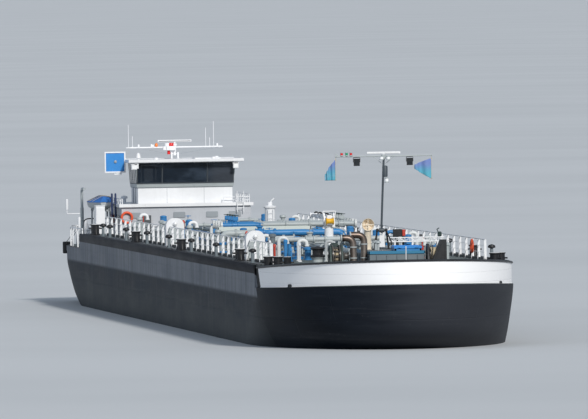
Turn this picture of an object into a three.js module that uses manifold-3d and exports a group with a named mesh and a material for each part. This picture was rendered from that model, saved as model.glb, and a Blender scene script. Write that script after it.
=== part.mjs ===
// A river tank barge, modelled at 1:10 from an inland tanker of 110 m by 11.4 m.
// Every size below is in metres of the full-size vessel. The exported group is scaled, so that
// one metre of the vessel is 100 mm of the model.
// Axes: +X to the bow, +Y to port, +Z up. The origin is on the flat bottom, on the centreline
// and midway between stem and stern. A port piece and its starboard twin are mirror images.
import * as THREE from "three";
import { mergeVertices } from "three/addons/utils/BufferGeometryUtils.js";
import Module from "manifold-3d";

const wasm = await Module();
wasm.setup();

// Driving sizes of the vessel
const MODEL_SCALE = 1 / 10;
const LENGTH = 110;
const BEAM = 11.4; // over the sheer strakes
const HALF = BEAM / 2 - 0.04; // centreline to the side plating
const CARGO_DECK = 5.37; // height of the deck over the tanks
const FORE_DECK = 5.1; // the sunk deck inside the bow bulwark
const AFT_DECK = 4.66; // the low deck round the after house
const KNUCKLE = 43.6; // where the sides begin to close towards the stem
const FORE_STEP = 44.1; // where the cargo deck drops to the foredeck
const AFT_STEP = -42.4; // where the cargo deck drops to the aft deck
const RAIL_Y = 4.75; // line of the side rails
const GAP = 0.003; // kept between two pieces that touch
const RUN = 0.06; // kept between a piece that moves and its neighbours
const ON_CARGO_DECK = CARGO_DECK + GAP;
const ON_FORE_DECK = FORE_DECK + GAP;
const ON_AFT_DECK = AFT_DECK + GAP;

// Colours of the paint and metal, as seen on the vessel
const paint = (color, roughness = 0.55, metalness = 0) =>
  new THREE.MeshStandardMaterial({ color, roughness, metalness });
const HULL_GREY = paint(0x63686f, 0.6);
const BLACK = paint(0x17191d, 0.5);
const WHITE = paint(0xe9e9ea, 0.4);
const DECK_GREY = paint(0x7c8286, 0.75);
const PIPE_GREY = paint(0xa9b1b1, 0.5);
const BLUE = paint(0x2b6cb4, 0.45);
const CREAM = paint(0xd9cdb8, 0.5);
const STEEL = paint(0x9a8f86, 0.3, 0.9);
const BRONZE = paint(0xb08d57, 0.35, 0.9);
const GLASS = paint(0x1b2a38, 0.1);

// Solids: three.js makes each shape, and manifold-3d joins and cuts them
function toSolid(geometry) {
  const bare = geometry.clone();
  bare.deleteAttribute("normal");
  bare.deleteAttribute("uv");
  const merged = mergeVertices(bare, 1e-4);
  return new wasm.Manifold(
    new wasm.Mesh({
      numProp: 3,
      vertProperties: merged.attributes.position.array,
      triVerts: new Uint32Array(merged.index.array),
    }),
  );
}

function toGeometry(solid) {
  const made = solid.getMesh();
  const geometry = new THREE.BufferGeometry();
  geometry.setAttribute("position", new THREE.BufferAttribute(made.vertProperties, 3));
  geometry.setIndex(new THREE.BufferAttribute(made.triVerts, 1));
  geometry.computeVertexNormals();
  return geometry;
}

function fuse(parts, holes = []) {
  let solid = toSolid(parts[0]);
  for (const part of parts.slice(1)) solid = solid.add(toSolid(part));
  for (const hole of holes) solid = solid.subtract(toSolid(hole));
  return toGeometry(solid);
}

// A block between two limits on each axis
const box = (x, y, z) =>
  new THREE.BoxGeometry(x[1] - x[0], y[1] - y[0], z[1] - z[0]).translate(
    (x[0] + x[1]) / 2,
    (y[0] + y[1]) / 2,
    (z[0] + z[1]) / 2,
  );

// A round bar that runs from a point along an axis
function rod(axis, at, length, radius, sides = 10) {
  const bar = new THREE.CylinderGeometry(radius, radius, length, sides).translate(0, length / 2, 0);
  if (axis === "z") bar.rotateX(Math.PI / 2);
  if (axis === "x") bar.rotateZ(-Math.PI / 2);
  return bar.translate(...at);
}

// A turned shape standing on its own axis, from a profile of [radius, height] points
const turned = (profile, at = [0, 0, 0], sides = 12) =>
  new THREE.LatheGeometry(profile.map((p) => new THREE.Vector2(...p)), sides)
    .rotateX(Math.PI / 2)
    .translate(...at);

// A flat outline given thickness along the axis that its plane leaves out
function plate(outline, from, to, plane = "xy") {
  const shape = new THREE.Shape(outline.map((p) => new THREE.Vector2(...p)));
  const made = new THREE.ExtrudeGeometry(shape, { depth: to - from, bevelEnabled: false });
  if (plane === "xz") return made.rotateX(Math.PI / 2).translate(0, to, 0);
  if (plane === "yz") return made.rotateX(Math.PI / 2).rotateZ(Math.PI / 2).translate(from, 0, 0);
  return made.translate(0, 0, from);
}

// A line through given points, with one ring of a swept section at each of them
class PointPath extends THREE.Curve {
  constructor(points) {
    super();
    this.points = points;
  }
  getPoint(t) {
    return this.points[Math.round(t * (this.points.length - 1))].clone();
  }
  getPointAt(u) {
    return this.getPoint(u);
  }
  getTangentAt(u) {
    const last = this.points.length - 1;
    const i = Math.round(u * last);
    const before = this.points[Math.max(i - 1, 0)];
    const after = this.points[Math.min(i + 1, last)];
    return after.clone().sub(before).normalize();
  }
}

// A pipe through corner points, each corner turned in an elbow of the given radius
function pipe(corners, radius, elbow, sides = 8) {
  const at = corners.map((c) => new THREE.Vector3(...c));
  const points = [at[0]];
  for (let i = 1; i < at.length - 1; i++) {
    const back = at[i - 1].clone().sub(at[i]).setLength(elbow).add(at[i]);
    const on = at[i + 1].clone().sub(at[i]).setLength(elbow).add(at[i]);
    const bend = new THREE.QuadraticBezierCurve3(back, at[i], on);
    points.push(back, bend.getPoint(0.5), on);
  }
  points.push(at[at.length - 1]);
  const section = new THREE.Shape();
  section.absarc(0, 0, radius, 0, 2 * Math.PI);
  return new THREE.ExtrudeGeometry(section, {
    extrudePath: new PointPath(points),
    steps: points.length - 1,
    curveSegments: sides / 2,
    bevelEnabled: false,
  });
}

// The mirror image of a solid across the vessel's centreline
function mirrored(geometry) {
  const made = geometry.clone().scale(1, -1, 1);
  const index = made.index.array;
  for (let i = 0; i < index.length; i += 3) {
    [index[i + 1], index[i + 2]] = [index[i + 2], index[i + 1]];
  }
  made.computeVertexNormals();
  return made;
}

const vessel = new THREE.Group();
vessel.scale.setScalar(1000 * MODEL_SCALE);

function add(name, geometry, material, at = [0, 0, 0], parent = vessel) {
  const mesh = new THREE.Mesh(geometry, material);
  mesh.name = name;
  mesh.position.set(...at);
  parent.add(mesh);
}

// Adds a piece that is modelled on the port side, and its starboard twin
function addPair(name, geometry, material, [x, y, z] = [0, 0, 0]) {
  add(`${name}_port`, geometry, material, [x, y, z]);
  add(`${name}_starboard`, mirrored(geometry), material, [x, -y, z]);
}

// Hull: a flat-bottomed box with an elliptical bow, a spoon-shaped forefoot and a raked stern.
// Each row is one waterline, from the bottom to the deck: its height, its half breadth, where
// the bow curve starts and ends, and where the stern curve starts, ends and how wide it ends.
// Round the bow, the white band is set in from the plating below it.
const BOW_BAND = { low: 4.38, half: HALF - 0.07, tip: 54.92, step: 0.05 };
const WATERLINES = [
  { z: 0, half: 5.25, bowStart: 34, bowTip: 44, sternStart: -33, sternTip: -43.5, transom: 2.4 },
  { z: 0.45, half: 5.62, bowStart: 36.5, bowTip: 48.6, sternStart: -34, sternTip: -45, transom: 2.8 },
  { z: 1.2, half: HALF, bowStart: 38.5, bowTip: 51.6, sternStart: -37, sternTip: -47.6, transom: 3.2 },
  { z: 1.95, half: HALF, bowStart: 40, bowTip: 53.3, sternStart: -41, sternTip: -51.4, transom: 3.6 },
  { z: 2.6, half: HALF, bowStart: 41, bowTip: 54.6, sternStart: -44, sternTip: -53.6, transom: 3.9 },
  { z: 3.8, half: HALF, bowStart: 43, bowTip: 54.95, sternStart: -47.5, sternTip: -55, transom: 4.4 },
  { z: BOW_BAND.low, half: HALF, bowStart: KNUCKLE, bowTip: 55, sternStart: -48, sternTip: -55, transom: 4.35 },
  ...[BOW_BAND.low + 0.04, CARGO_DECK].map((z) => ({
    z, half: HALF, bowHalf: BOW_BAND.half, bowStart: KNUCKLE, bowTip: BOW_BAND.tip,
    sternStart: -48.5, sternTip: -55, transom: 4.3,
  })),
];
const BOW_POINTS = 20;
const STERN_POINTS = 6;

// Half of one waterline, from the middle of the stern to the stem, as [x, y] points to port
function halfOutline(row) {
  const points = [[row.sternTip, 0]];
  for (let i = STERN_POINTS; i >= 0; i--) {
    const turn = ((i / STERN_POINTS) * Math.PI) / 2;
    points.push([
      row.sternStart + (row.sternTip - row.sternStart) * Math.sin(turn),
      row.transom + (row.half - row.transom) * Math.cos(turn),
    ]);
  }
  points.push([row.bowStart - BOW_BAND.step, row.half]);
  for (let i = 0; i <= BOW_POINTS; i++) {
    const turn = ((i / BOW_POINTS) * Math.PI) / 2;
    points.push([
      row.bowStart + (row.bowTip - row.bowStart) * Math.sin(turn),
      i === BOW_POINTS ? 0 : (row.bowHalf ?? row.half) * Math.cos(turn),
    ]);
  }
  return points;
}

// Joins rings of equally many points, given from the lowest up, into one closed solid. Each ring
// starts on the centreline and is symmetric, and its ends are capped in strips across it.
function skin(rings) {
  const around = rings[0].length;
  const index = [];
  for (let level = 0; level + 1 < rings.length; level++) {
    for (let i = 0; i < around; i++) {
      const a = level * around + i;
      const b = level * around + ((i + 1) % around);
      index.push(a, a + around, b, b, a + around, b + around);
    }
  }
  const top = (rings.length - 1) * around;
  for (let i = 0; i < around / 2; i++) {
    const [p, q] = [i, i + 1];
    const [r, s] = [(around - i) % around, around - i - 1];
    if (r !== p) index.push(p, q, r, top + p, top + r, top + q);
    if (s !== q) index.push(q, s, r, top + q, top + r, top + s);
  }
  const geometry = new THREE.BufferGeometry();
  geometry.setAttribute("position", new THREE.Float32BufferAttribute(rings.flat(2), 3));
  geometry.setIndex(index);
  return geometry;
}

function loftHull() {
  return skin(WATERLINES.map((row) => {
    const port = halfOutline(row).map(([x, y]) => [x, y, row.z]);
    const starboard = port.slice(1, -1).reverse().map(([x, y, z]) => [x, -y, z]);
    return [...port, ...starboard];
  }));
}

// Propulsion: one propeller in a nozzle in a stern tunnel, with two rudders behind it
const SHAFT_Z = 0.98;
const TUNNEL = { radius: 1.12, start: -46.3 };
const NOZZLE = { aft: -48.85, inner: 0.86, outer: 0.96, length: 1.1 };
const PROPELLER = { x: -48.3, radius: 0.78, hub: 0.17, blades: 4 };
const RUDDER = { x: -50.2, y: 0.52, fore: 0.42, aft: 0.88, half: 0.075, low: 0.12, high: 1.9, stock: 0.08 };
const RUDDER_BAY = { start: -49.15, half: 2.1, top: 2.02 };
const STRAKE = { low: CARGO_DECK - 0.36, high: CARGO_DECK + 0.03, wide: 0.12 };

function buildHull() {
  const body = fuse([loftHull()], [
    rod("x", [-LENGTH / 2 - 1, 0, SHAFT_Z], LENGTH / 2 + 1 + TUNNEL.start, TUNNEL.radius, 24),
    box([-LENGTH / 2 - 1, RUDDER_BAY.start], [-RUDDER_BAY.half, RUDDER_BAY.half], [-1, RUDDER_BAY.top]),
    box([-LENGTH / 2 - 1, AFT_STEP], [-BEAM, BEAM], [AFT_DECK, CARGO_DECK + 1]),
    box([FORE_STEP, LENGTH / 2 + 1], [-BEAM, BEAM], [FORE_DECK, CARGO_DECK + 1]),
    ...[-1, 1].map((side) => rod("z", [RUDDER.x, side * RUDDER.y, RUDDER_BAY.top - 0.2], 0.65, RUDDER.stock + 0.02, 12)),
  ]);
  const skeg = plate([[-41.5, 0.34], [-46.9, 0.19], [-46.9, -0.19], [-41.5, -0.34]].reverse(), 0, 1.6);
  const shaftBoss = rod("x", [-47.35, 0, SHAFT_Z], 2.4, 0.2, 12);
  const strakes = [-1, 1].map((side) => {
    const y = [side * (BEAM / 2 - STRAKE.wide), (side * BEAM) / 2].sort((a, b) => a - b);
    return box([AFT_STEP, KNUCKLE], y, [STRAKE.low, STRAKE.high]);
  });
  add("hull", fuse([body, skeg, shaftBoss, ...strakes]), HULL_GREY);
}

function buildPropulsion() {
  const { inner, outer, length } = NOZZLE;
  const wall = [[inner + 0.03, 0], [inner, length / 2], [inner + 0.03, length], [outer, length],
    [outer, 0.1], [inner + 0.03, 0]].reverse();
  const ring = turned(wall, [0, 0, 0], 24).rotateY(Math.PI / 2).translate(NOZZLE.aft, 0, SHAFT_Z);
  const strut = (turn) =>
    box([-48.6, -48], [-0.09, 0.09], [outer - 0.04, TUNNEL.radius - 0.02]).rotateX(turn).translate(0, 0, SHAFT_Z);
  add("propeller_nozzle", fuse([ring, strut(-0.5), strut(0.5)]), BLACK);

  const hub = turned([[0, -0.34], [0.1, -0.3], [PROPELLER.hub, -0.14], [PROPELLER.hub, 0.2], [0.09, 0.24],
    [0.09, 0.7], [0, 0.7]], [0, 0, 0], 12).rotateY(Math.PI / 2);
  const blade = plate([[-0.12, 0.1], [-0.3, 0.45], [-0.24, 0.7], [0, PROPELLER.radius], [0.24, 0.7],
    [0.3, 0.45], [0.12, 0.1]].reverse(), -0.025, 0.025);
  const blades = [];
  for (let i = 0; i < PROPELLER.blades; i++) {
    const pitched = blade.clone().rotateX(Math.PI / 2).rotateZ(0.9);
    blades.push(pitched.rotateX(((i + 0.5) / PROPELLER.blades) * 2 * Math.PI));
  }
  add("propeller", fuse([hub, ...blades]), BRONZE, [PROPELLER.x, 0, SHAFT_Z]);

  const { fore, aft, half, low, high, stock } = RUDDER;
  const foil = [[fore, 0], [fore - 0.1, half], [-0.1, half], [-aft, 0.02], [-aft, -0.02], [-0.1, -half], [fore - 0.1, -half]];
  addPair("rudder", fuse([plate(foil, low, high), rod("z", [0, 0, high - 0.2], 0.6, stock, 12)]), BLACK, [RUDDER.x, RUDDER.y, 0]);
}

// Bulwark: the rim of the bow, which carries on the hull's white band and rises to the stem
const BULWARK = { thick: 0.14, low: CARGO_DECK + 0.03, high: 5.7 };

function buildBulwark() {
  const reach = BOW_BAND.tip - KNUCKLE;
  const end = Math.acos((FORE_STEP + GAP - KNUCKLE) / (reach - BULWARK.thick));
  const turns = [-end];
  for (let i = 1 - BOW_POINTS; i < BOW_POINTS; i++) turns.push(((i / BOW_POINTS) * Math.PI) / 2);
  turns.push(end);
  const rings = turns.map((turn) => {
    const top = BULWARK.low + (BULWARK.high - BULWARK.low) * Math.cos(turn) ** 1.4;
    const at = (inset) => [
      KNUCKLE + (reach - inset) * Math.cos(turn),
      (BOW_BAND.half - inset) * Math.sin(turn),
    ];
    const [outer, inner] = [at(0), at(BULWARK.thick)];
    return [[...outer, ON_FORE_DECK], [...outer, top], [...inner, top], [...inner, ON_FORE_DECK]];
  });
  const index = [];
  for (let i = 0; i + 1 < rings.length; i++) {
    for (let k = 0; k < 4; k++) {
      const a = i * 4 + k;
      const b = i * 4 + ((k + 1) % 4);
      index.push(a, a + 4, b, b, a + 4, b + 4);
    }
  }
  const last = (rings.length - 1) * 4;
  index.push(0, 1, 2, 0, 2, 3, last, last + 2, last + 1, last, last + 3, last + 2);
  const geometry = new THREE.BufferGeometry();
  geometry.setAttribute("position", new THREE.Float32BufferAttribute(rings.flat(2), 3));
  geometry.setIndex(index);
  add("bow_bulwark", fuse([geometry]), WHITE);
}

// Side rails: flat posts between a foot strip and a top rail, and inside the starboard rail two
// hooded cabinets
const SIDE_RAIL = { from: -37, to: 43, pitch: 2, post: 0.1, foot: 0.12, top: 0.95, bar: 0.05 };
const CABINETS = [-5, 32.4];
const CABINET = { half: 0.42, hood: 1.33, chamfer: 0.2, inboard: 0.25 };

function buildSideRails() {
  const { from, to, pitch, post, foot, top, bar } = SIDE_RAIL;
  const panel = box([from, to], [-bar / 2, bar / 2], [0, top]);
  const windows = [];
  for (let x = from; x < to - post; x += pitch) {
    windows.push(box([x + post, x + pitch - post / 2], [-bar, bar], [foot, top - bar]));
  }
  const { half, hood, chamfer } = CABINET;
  const front = [[-half, 0], [half, 0], [half, hood - chamfer], [half - chamfer, hood],
    [chamfer - half, hood], [-half, hood - chamfer]];
  const cabinets = CABINETS.map((x) => plate(front, x - half, x + half, "yz").translate(0, CABINET.inboard, 0));
  const rail = fuse([panel], windows);
  add("side_rail_port", rail, WHITE, [0, RAIL_Y, ON_CARGO_DECK]);
  add("side_rail_starboard", fuse([rail, ...cabinets]), WHITE, [0, -RAIL_Y, ON_CARGO_DECK]);
}

// Mooring strips: a doubler plate along each side deck, with its double bollards and the
// mushroom vents of the wing tanks
const STRIP = { from: -42, to: 43, half: 0.22, thick: 0.03, y: 5.28 };
const SIDE_BOLLARDS = [-37.9, -16.3, 6.3, 33.1];
const MUSHROOM_VENTS = [-32.9, -29.3, -20.7, -9.9, 0.9, 11.8, 22.7, 38.6];
const BOLLARD = { reach: 0.34, radius: 0.17, cap: 0.21, high: 0.55, sides: 8 };
const BOW_BOLLARD = { reach: 0.4, radius: 0.2, cap: 0.23, high: 0.68, sides: 12 };

function doubleBollard(x, y, z, size = BOLLARD) {
  const { reach, radius, cap, high, sides } = size;
  const post = [[0, 0], [radius, 0], [radius, high - 0.07], [cap, high - 0.05], [cap, high], [0, high]];
  const end = reach + cap + 0.02;
  return [
    turned(post, [x - reach, y, z], sides),
    turned(post, [x + reach, y, z], sides),
    box([x - end, x + end], [y - cap - 0.02, y + cap + 0.02], [z, z + 0.05]),
  ];
}

function buildMooringStrips() {
  const parts = [box([STRIP.from, STRIP.to], [-STRIP.half, STRIP.half], [0, STRIP.thick])];
  for (const x of SIDE_BOLLARDS) parts.push(...doubleBollard(x, 0, 0.01));
  const vent = [[0, 0], [0.07, 0], [0.07, 0.42], [0.17, 0.42], [0, 0.58]];
  for (const x of MUSHROOM_VENTS) parts.push(turned(vent, [x, 0.06, 0.01], 6));
  addPair("mooring_strip", fuse(parts), BLACK, [0, STRIP.y, ON_CARGO_DECK]);
}

// Foredeck: deckhouse with its hatch, windlasses, bollards, capstan, vent and exhaust pipes
const FORE_HOUSE = { x: [44.2, 49.6], half: 1.2, top: 6 };
const HATCH = { x: [47.9, 49.3], y: [-0.05, 1.1], deep: 0.6, wall: 0.06, high: 0.1, lid: 0.2 };

function buildForeHouse() {
  const { x, half, top } = FORE_HOUSE;
  const coaming = box(HATCH.x, HATCH.y, [top - 0.1, top + HATCH.high]);
  const shaft = box(
    [HATCH.x[0] + HATCH.wall, HATCH.x[1] - HATCH.wall],
    [HATCH.y[0] + HATCH.wall, HATCH.y[1] - HATCH.wall],
    [top - HATCH.deep, top + 1],
  );
  add("fore_house", fuse([box(x, [-half, half], [ON_FORE_DECK, top]), coaming], [shaft]), PIPE_GREY);
  const lid = box(
    [HATCH.x[0] - 0.04, HATCH.x[1] + 0.04],
    [HATCH.y[0] - 0.04, HATCH.y[1] + 0.04],
    [HATCH.high + GAP, HATCH.high + HATCH.lid],
  );
  add("fore_hatch_lid", fuse([lid]), BLUE, [0, 0, top]);
}

// Seen from the side, a windlass is a frame of two cheeks round its drums and gear case
const BOLLARD_PLACES = { starboard: [44.75, -4.73, 90], port: [44.95, 4.88, -26] }; // x, y and turn

function buildForedeckGear() {
  const axle = 0.72;
  const drum = (y, length, radius, sides = 12) => rod("y", [0, y, axle], length, radius, sides);
  const cheek = (y) => plate([[-0.62, 0], [0.62, 0], [0.3, 1.2], [-0.3, 1.2]], y, y + 0.09, "xz");
  add("windlass_starboard", fuse([
    box([-0.72, 0.72], [-0.46, 0.46], [0, 0.08]), cheek(-0.42), cheek(0.08),
    drum(-0.45, 0.9, 0.08, 8), drum(-0.31, 0.06, 0.5, 16), drum(-0.27, 0.3, 0.33), drum(0, 0.06, 0.5, 16),
    drum(0.2, 0.24, 0.22), box([-0.66, -0.2], [-0.3, 0.02], [0.05, 1.3]),
  ]), BLACK, [49.6, -2.57, ON_FORE_DECK]);
  add("windlass_port", fuse([
    box([-0.7, 0.7], [-0.46, 0.46], [0, 0.08]), cheek(-0.42), cheek(0.3),
    drum(-0.44, 0.88, 0.08, 8), drum(-0.3, 0.56, 0.34),
    plate([[-0.38, 0.05], [0.38, 0.05], [0.38, 1.38], [0.12, 1.38]], 0.15, 0.66, "yz"),
  ]), BLACK, [49.6, 1.72, ON_FORE_DECK]);

  for (const [side, [x, y, turn]] of Object.entries(BOLLARD_PLACES)) {
    const bollard = fuse(doubleBollard(0, 0, 0, BOW_BOLLARD)).rotateZ((turn * Math.PI) / 180);
    add(`bow_bollards_${side}`, bollard, BLACK, [x, y, ON_FORE_DECK]);
  }

  add("capstan", fuse([turned([[0, 0], [0.34, 0], [0.34, 0.06], [0.22, 0.12], [0.2, 0.62], [0.33, 0.7],
    [0.33, 1.06], [0.25, 1.14], [0, 1.16]], [0, 0, 0], 16)]), PIPE_GREY, [49, -3.42, ON_FORE_DECK]);

  const cowl = { x: 45, y: -0.77, stem: 1.04, face: 0.27 };
  add("cowl_vent", fuse([
    rod("z", [0, 0, 0], cowl.stem, 0.155, 12),
    turned([[0, -0.2], [0.16, -0.16], [0.24, 0], [cowl.face, 0.12], [cowl.face, 0.18], [0, 0.18]], [0, 0, 0], 14)
      .rotateY(Math.PI / 2)
      .translate(0.05, 0, cowl.stem + 0.06),
  ], [rod("x", [0.14, 0, cowl.stem + 0.06], 0.3, cowl.face - 0.04, 14)]), CREAM, [cowl.x, cowl.y, FORE_HOUSE.top + GAP]);

  const exhaust = (x, y, top, run) => {
    const high = top - ON_FORE_DECK;
    return pipe([[x, y, 0], [x, y, high], [x, y - run, high]], 0.15, 0.3, 10);
  };
  add("bow_exhausts", fuse([
    exhaust(0, -1.89, 6.6, 0.54), exhaust(-0.4, -1.37, 6.72, 0.62), box([-0.6, 0.22], [-2.08, -1.215], [0, 0.12]),
  ]), STEEL, [49.3, 0, ON_FORE_DECK]);
}

// Bow mast: a pole with a yard, hinged between two legs so that it folds aft for low bridges
const MAST = { x: 44.9, pivot: 6.84, yard: 10.11, half: 2.15, pin: 0.05, head: 0.06 };

function buildBowMast() {
  const rise = MAST.pivot - FORE_HOUSE.top - GAP;
  const leg = [[0.16, rise + 0.08], [0.23, rise + 0.08], [0.37, 0], [0.27, 0]];
  const legs = [-1, 1].map((side) => plate(leg.map(([y, z]) => [side * y, z]), -0.07, 0.07, "yz"));
  add("mast_legs", fuse([
    ...legs, box([-0.2, 0.2], [-0.44, 0.44], [0, 0.05]), rod("y", [0, -0.2, rise], 0.4, MAST.pin, 12),
  ]), BLACK, [MAST.x, 0, FORE_HOUSE.top + GAP]);

  const top = MAST.yard - MAST.pivot;
  const lamp = (y) => turned([[0, 0], [0.055, 0], [0.055, 0.14], [0, 0.14]], [0, y, top], 8);
  const floodlight = (y) => box([-0.06, 0.1], [y - 0.17, y + 0.17], [top - 0.42, top - 0.02]);
  add("bow_mast", fuse([
    rod("z", [0, 0, -0.12], 0.12 + top + MAST.head, 0.065, 10),
    rod("y", [0, -MAST.half, top], 2 * MAST.half, 0.035, 6),
    lamp(-1.86), lamp(-1.64), lamp(-1.45), floodlight(-1.2), floodlight(1.15),
    turned([[0, 0], [0.16, 0], [0.16, 0.42], [0, 0.42]], [0, 0, top - 0.8], 10),
    rod("z", [0, 0, top - 0.1], 0.1 + MAST.head, 0.12, 10),
  ], [rod("y", [0, -0.3, 0], 0.6, MAST.pin + 0.01, 12)]), PIPE_GREY, [MAST.x, 0, MAST.pivot]);
  add("bow_radar", fuse([box([-0.06, 0.06], [-0.74, 0.74], [0.03, 0.13]), rod("z", [0, 0, 0], 0.08, 0.07, 8)]),
    WHITE, [MAST.x, 0, MAST.yard + MAST.head + GAP]);
}

// Flags: hung from the ends of the yard, each a thin cloth with a hoist of one metre
const FLAG = { hoist: 1, thick: 0.024, drop: 0.08 };

function buildFlags() {
  const flag = (foot) => plate([[0, 0], [-foot, -0.3], [-foot, -FLAG.hoist], [0, -FLAG.hoist]], -FLAG.thick / 2, FLAG.thick / 2, "yz");
  const z = MAST.yard - FLAG.drop;
  add("flag_port", fuse([flag(0.7)]), BLUE, [MAST.x, MAST.half - 0.05, z]);
  add("flag_starboard", fuse([flag(0.38)]), BLUE, [MAST.x, -MAST.half, z]);
}

// Cargo deck: hatches and pumps in pairs, one pair to a tank, and the lines that join them
const TANK_X = [-34, -21, -8.6, 5, 16, 29];
const HATCH_Y = 3.55;
const PUMP_Y = 2.5;
const LINE_Y = 1.15;
const LINE_Z = 0.5;

function buildCargoGear() {
  const hatches = [box([TANK_X[0], TANK_X[5] + 1.3], [-0.06, 0.06], [0.05, 0.13])];
  for (const x of TANK_X) {
    hatches.push(turned([[0, 0], [0.42, 0], [0.42, 0.46], [0.5, 0.46], [0.5, 0.56], [0, 0.62]], [x, 0, 0], 10));
    hatches.push(turned([[0, 0], [0.09, 0], [0.09, 0.8], [0.16, 0.8], [0, 0.95]], [x + 1.3, 0, 0], 6));
  }
  addPair("tank_hatches", fuse(hatches), PIPE_GREY, [0, HATCH_Y, ON_CARGO_DECK]);

  const pumps = [box([TANK_X[0] + 2.7, TANK_X[5] + 2.7], [-0.06, 0.06], [0.15, 0.23])];
  for (const x of TANK_X) {
    pumps.push(turned([[0, 0], [0.28, 0], [0.28, 0.1], [0.12, 0.1], [0.12, 0.42], [0.17, 0.42], [0.17, 1], [0, 1.04]],
      [x + 2.7, 0, 0], 8));
  }
  addPair("cargo_pumps", fuse(pumps), BLUE, [0, PUMP_Y, ON_CARGO_DECK]);

  const lines = [rod("x", [-38, 0, LINE_Z], 80, 0.12, 6)];
  for (const x of TANK_X) {
    lines.push(pipe([[x + 2.7, 1.1, 0.75], [x + 2.7, 0, 0.75], [x + 2.7, 0, LINE_Z]], 0.08, 0.15, 6));
    lines.push(box([x - 0.06, x + 0.06], [-0.2, 0.2], [0, LINE_Z - 0.06]));
    lines.push(rod("x", [x + 1.2, 0, LINE_Z], 0.24, 0.2, 8));
    lines.push(turned([[0, 0], [0.03, 0], [0.15, 0.4], [0, 0.44]], [x + 1.32, 0, LINE_Z + 0.05], 6));
  }
  addPair("cargo_line", fuse(lines), PIPE_GREY, [0, LINE_Y, ON_CARGO_DECK]);
}

// Manifold: four cross pipes amidships, closed by blind flanges at the rails on both sides
const MANIFOLD = { x: [0.4, 1.6, 2.8, 4], end: 3.2, z: 0.98, flange: 0.21, bearer: 1.8, valve: 2.5 };

function buildManifold() {
  const { x: pipes, end, z, flange, bearer, valve } = MANIFOLD;
  const [first, last] = [pipes[0] - 0.3, pipes[3] + 0.3];
  const parts = [];
  for (const side of [-bearer, bearer]) {
    parts.push(box([first, last], [side - 0.05, side + 0.05], [z - 0.2, z - 0.06]));
    for (const x of [first + 0.05, last - 0.15]) parts.push(box([x, x + 0.1], [side - 0.04, side + 0.04], [0, z - 0.1]));
  }
  for (const x of pipes) {
    parts.push(rod("y", [x, 0.04 - end, z], 2 * end - 0.08, 0.11, 8));
    parts.push(rod("y", [x, end - 0.09, z], 0.09, flange, 12), rod("y", [x, -end, z], 0.09, flange, 12));
    for (const side of [-valve, valve]) {
      parts.push(rod("y", [x, side - 0.15, z], 0.3, 0.17, 8));
      parts.push(turned([[0, 0], [0.03, 0], [0.17, 0.34], [0, 0.38]], [x + 0.01, side, z + 0.07], 6));
    }
  }
  add("manifold", fuse(parts), BLUE, [0, 0, ON_CARGO_DECK]);
}

// Cross pipes: each rises from the deck on the starboard side and runs across above the cargo
// lines to the middle of the deck
const CROSS_PIPE = { starboard: -4.05, port: 1.6, z: 0.95, radius: 0.16, elbow: 0.34 };
const CROSS_PIPES = [["mid", 13.2, BLUE], ["fore", 35.2, PIPE_GREY]];

function buildCrossPipes() {
  const { starboard, port, z, radius, elbow } = CROSS_PIPE;
  for (const [place, x, material] of CROSS_PIPES) {
    const line = pipe([[0, starboard, 0], [0, starboard, z], [0, port, z], [0, port, 0]], radius, elbow, 10);
    const valve = [rod("y", [0, -2.5, z], 0.4, radius + 0.07, 10), turned([[0, 0], [0.04, 0], [0.18, 0.36], [0, 0.4]], [0.01, -2.3, z + 0.1], 8)];
    const feet = [starboard, port].map((y) => rod("z", [0, y, 0], 0.06, radius + 0.1, 10));
    add(`cross_pipe_${place}`, fuse([line, ...valve, ...feet]), material, [x, 0, ON_CARGO_DECK]);
  }
}

// Catwalk: a raised cross platform before the manifold, on four posts
const CATWALK = { x: [-1.5, -0.6], half: 1.2, z: 0.82, thick: 0.14, post: 0.04, stance: 0.75 };

function buildDeckBoxes() {
  const { x, half, z, thick, post, stance } = CATWALK;
  const legs = [];
  for (const px of [x[0] + post, x[1] - post]) {
    for (const py of [-stance, stance]) legs.push(box([px - post, px + post], [py - post, py + post], [0, z]));
  }
  add("catwalk", fuse([box(x, [-half, half], [z - thick, z]), ...legs]), WHITE, [0, 0, ON_CARGO_DECK]);
  add("vent_tank", fuse([turned([[0, 0], [0.3, 0], [0.3, 0.05], [0.24, 0.05], [0.24, 1.66], [0.3, 1.66], [0.3, 1.74],
    [0.12, 1.8], [0.12, 1.93], [0, 1.93]], [0, 0, 0], 14)]).scale(1, 1, 1.05), WHITE, [-4.4, 0, ON_CARGO_DECK]);
}

// Hose crane: a slewing post with a jib, stowed pointing aft along the centreline
const CRANE = { x: 21.8, pivot: 1.7, jib: 6.4, pin: 0.05 };

function buildCrane() {
  add("crane_pedestal", fuse([turned([[0, 0], [0.36, 0], [0.28, 0.66], [0.34, 0.66], [0.34, 0.74], [0, 0.74]], [0, 0, 0], 14)]),
    WHITE, [CRANE.x, 0, ON_CARGO_DECK]);
  const foot = 0.74 + GAP;
  add("crane_post", fuse([
    rod("z", [0, 0, foot], 0.6, 0.2, 12),
    box([-0.22, 0.22], [-0.26, 0.26], [foot + 0.5, foot + 0.62]),
    box([-0.2, 0.2], [-0.26, -0.19], [foot + 0.55, 1.93]), box([-0.2, 0.2], [0.19, 0.26], [foot + 0.55, 1.93]),
    rod("y", [0, -0.22, CRANE.pivot], 0.44, CRANE.pin, 10),
  ]), WHITE, [CRANE.x, 0, ON_CARGO_DECK]);
  add("crane_jib", fuse([
    plate([[-CRANE.jib, -0.05], [0.18, -0.13], [0.18, 0.13], [-CRANE.jib, 0.06]], -0.12, 0.12, "xz"),
    rod("y", [0.08 - CRANE.jib, -0.2, 0], 0.4, 0.14, 10),
  ], [rod("y", [0, -0.3, 0], 0.6, CRANE.pin + 0.01, 12)]), WHITE, [CRANE.x, 0, ON_CARGO_DECK + CRANE.pivot]);
}

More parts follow.
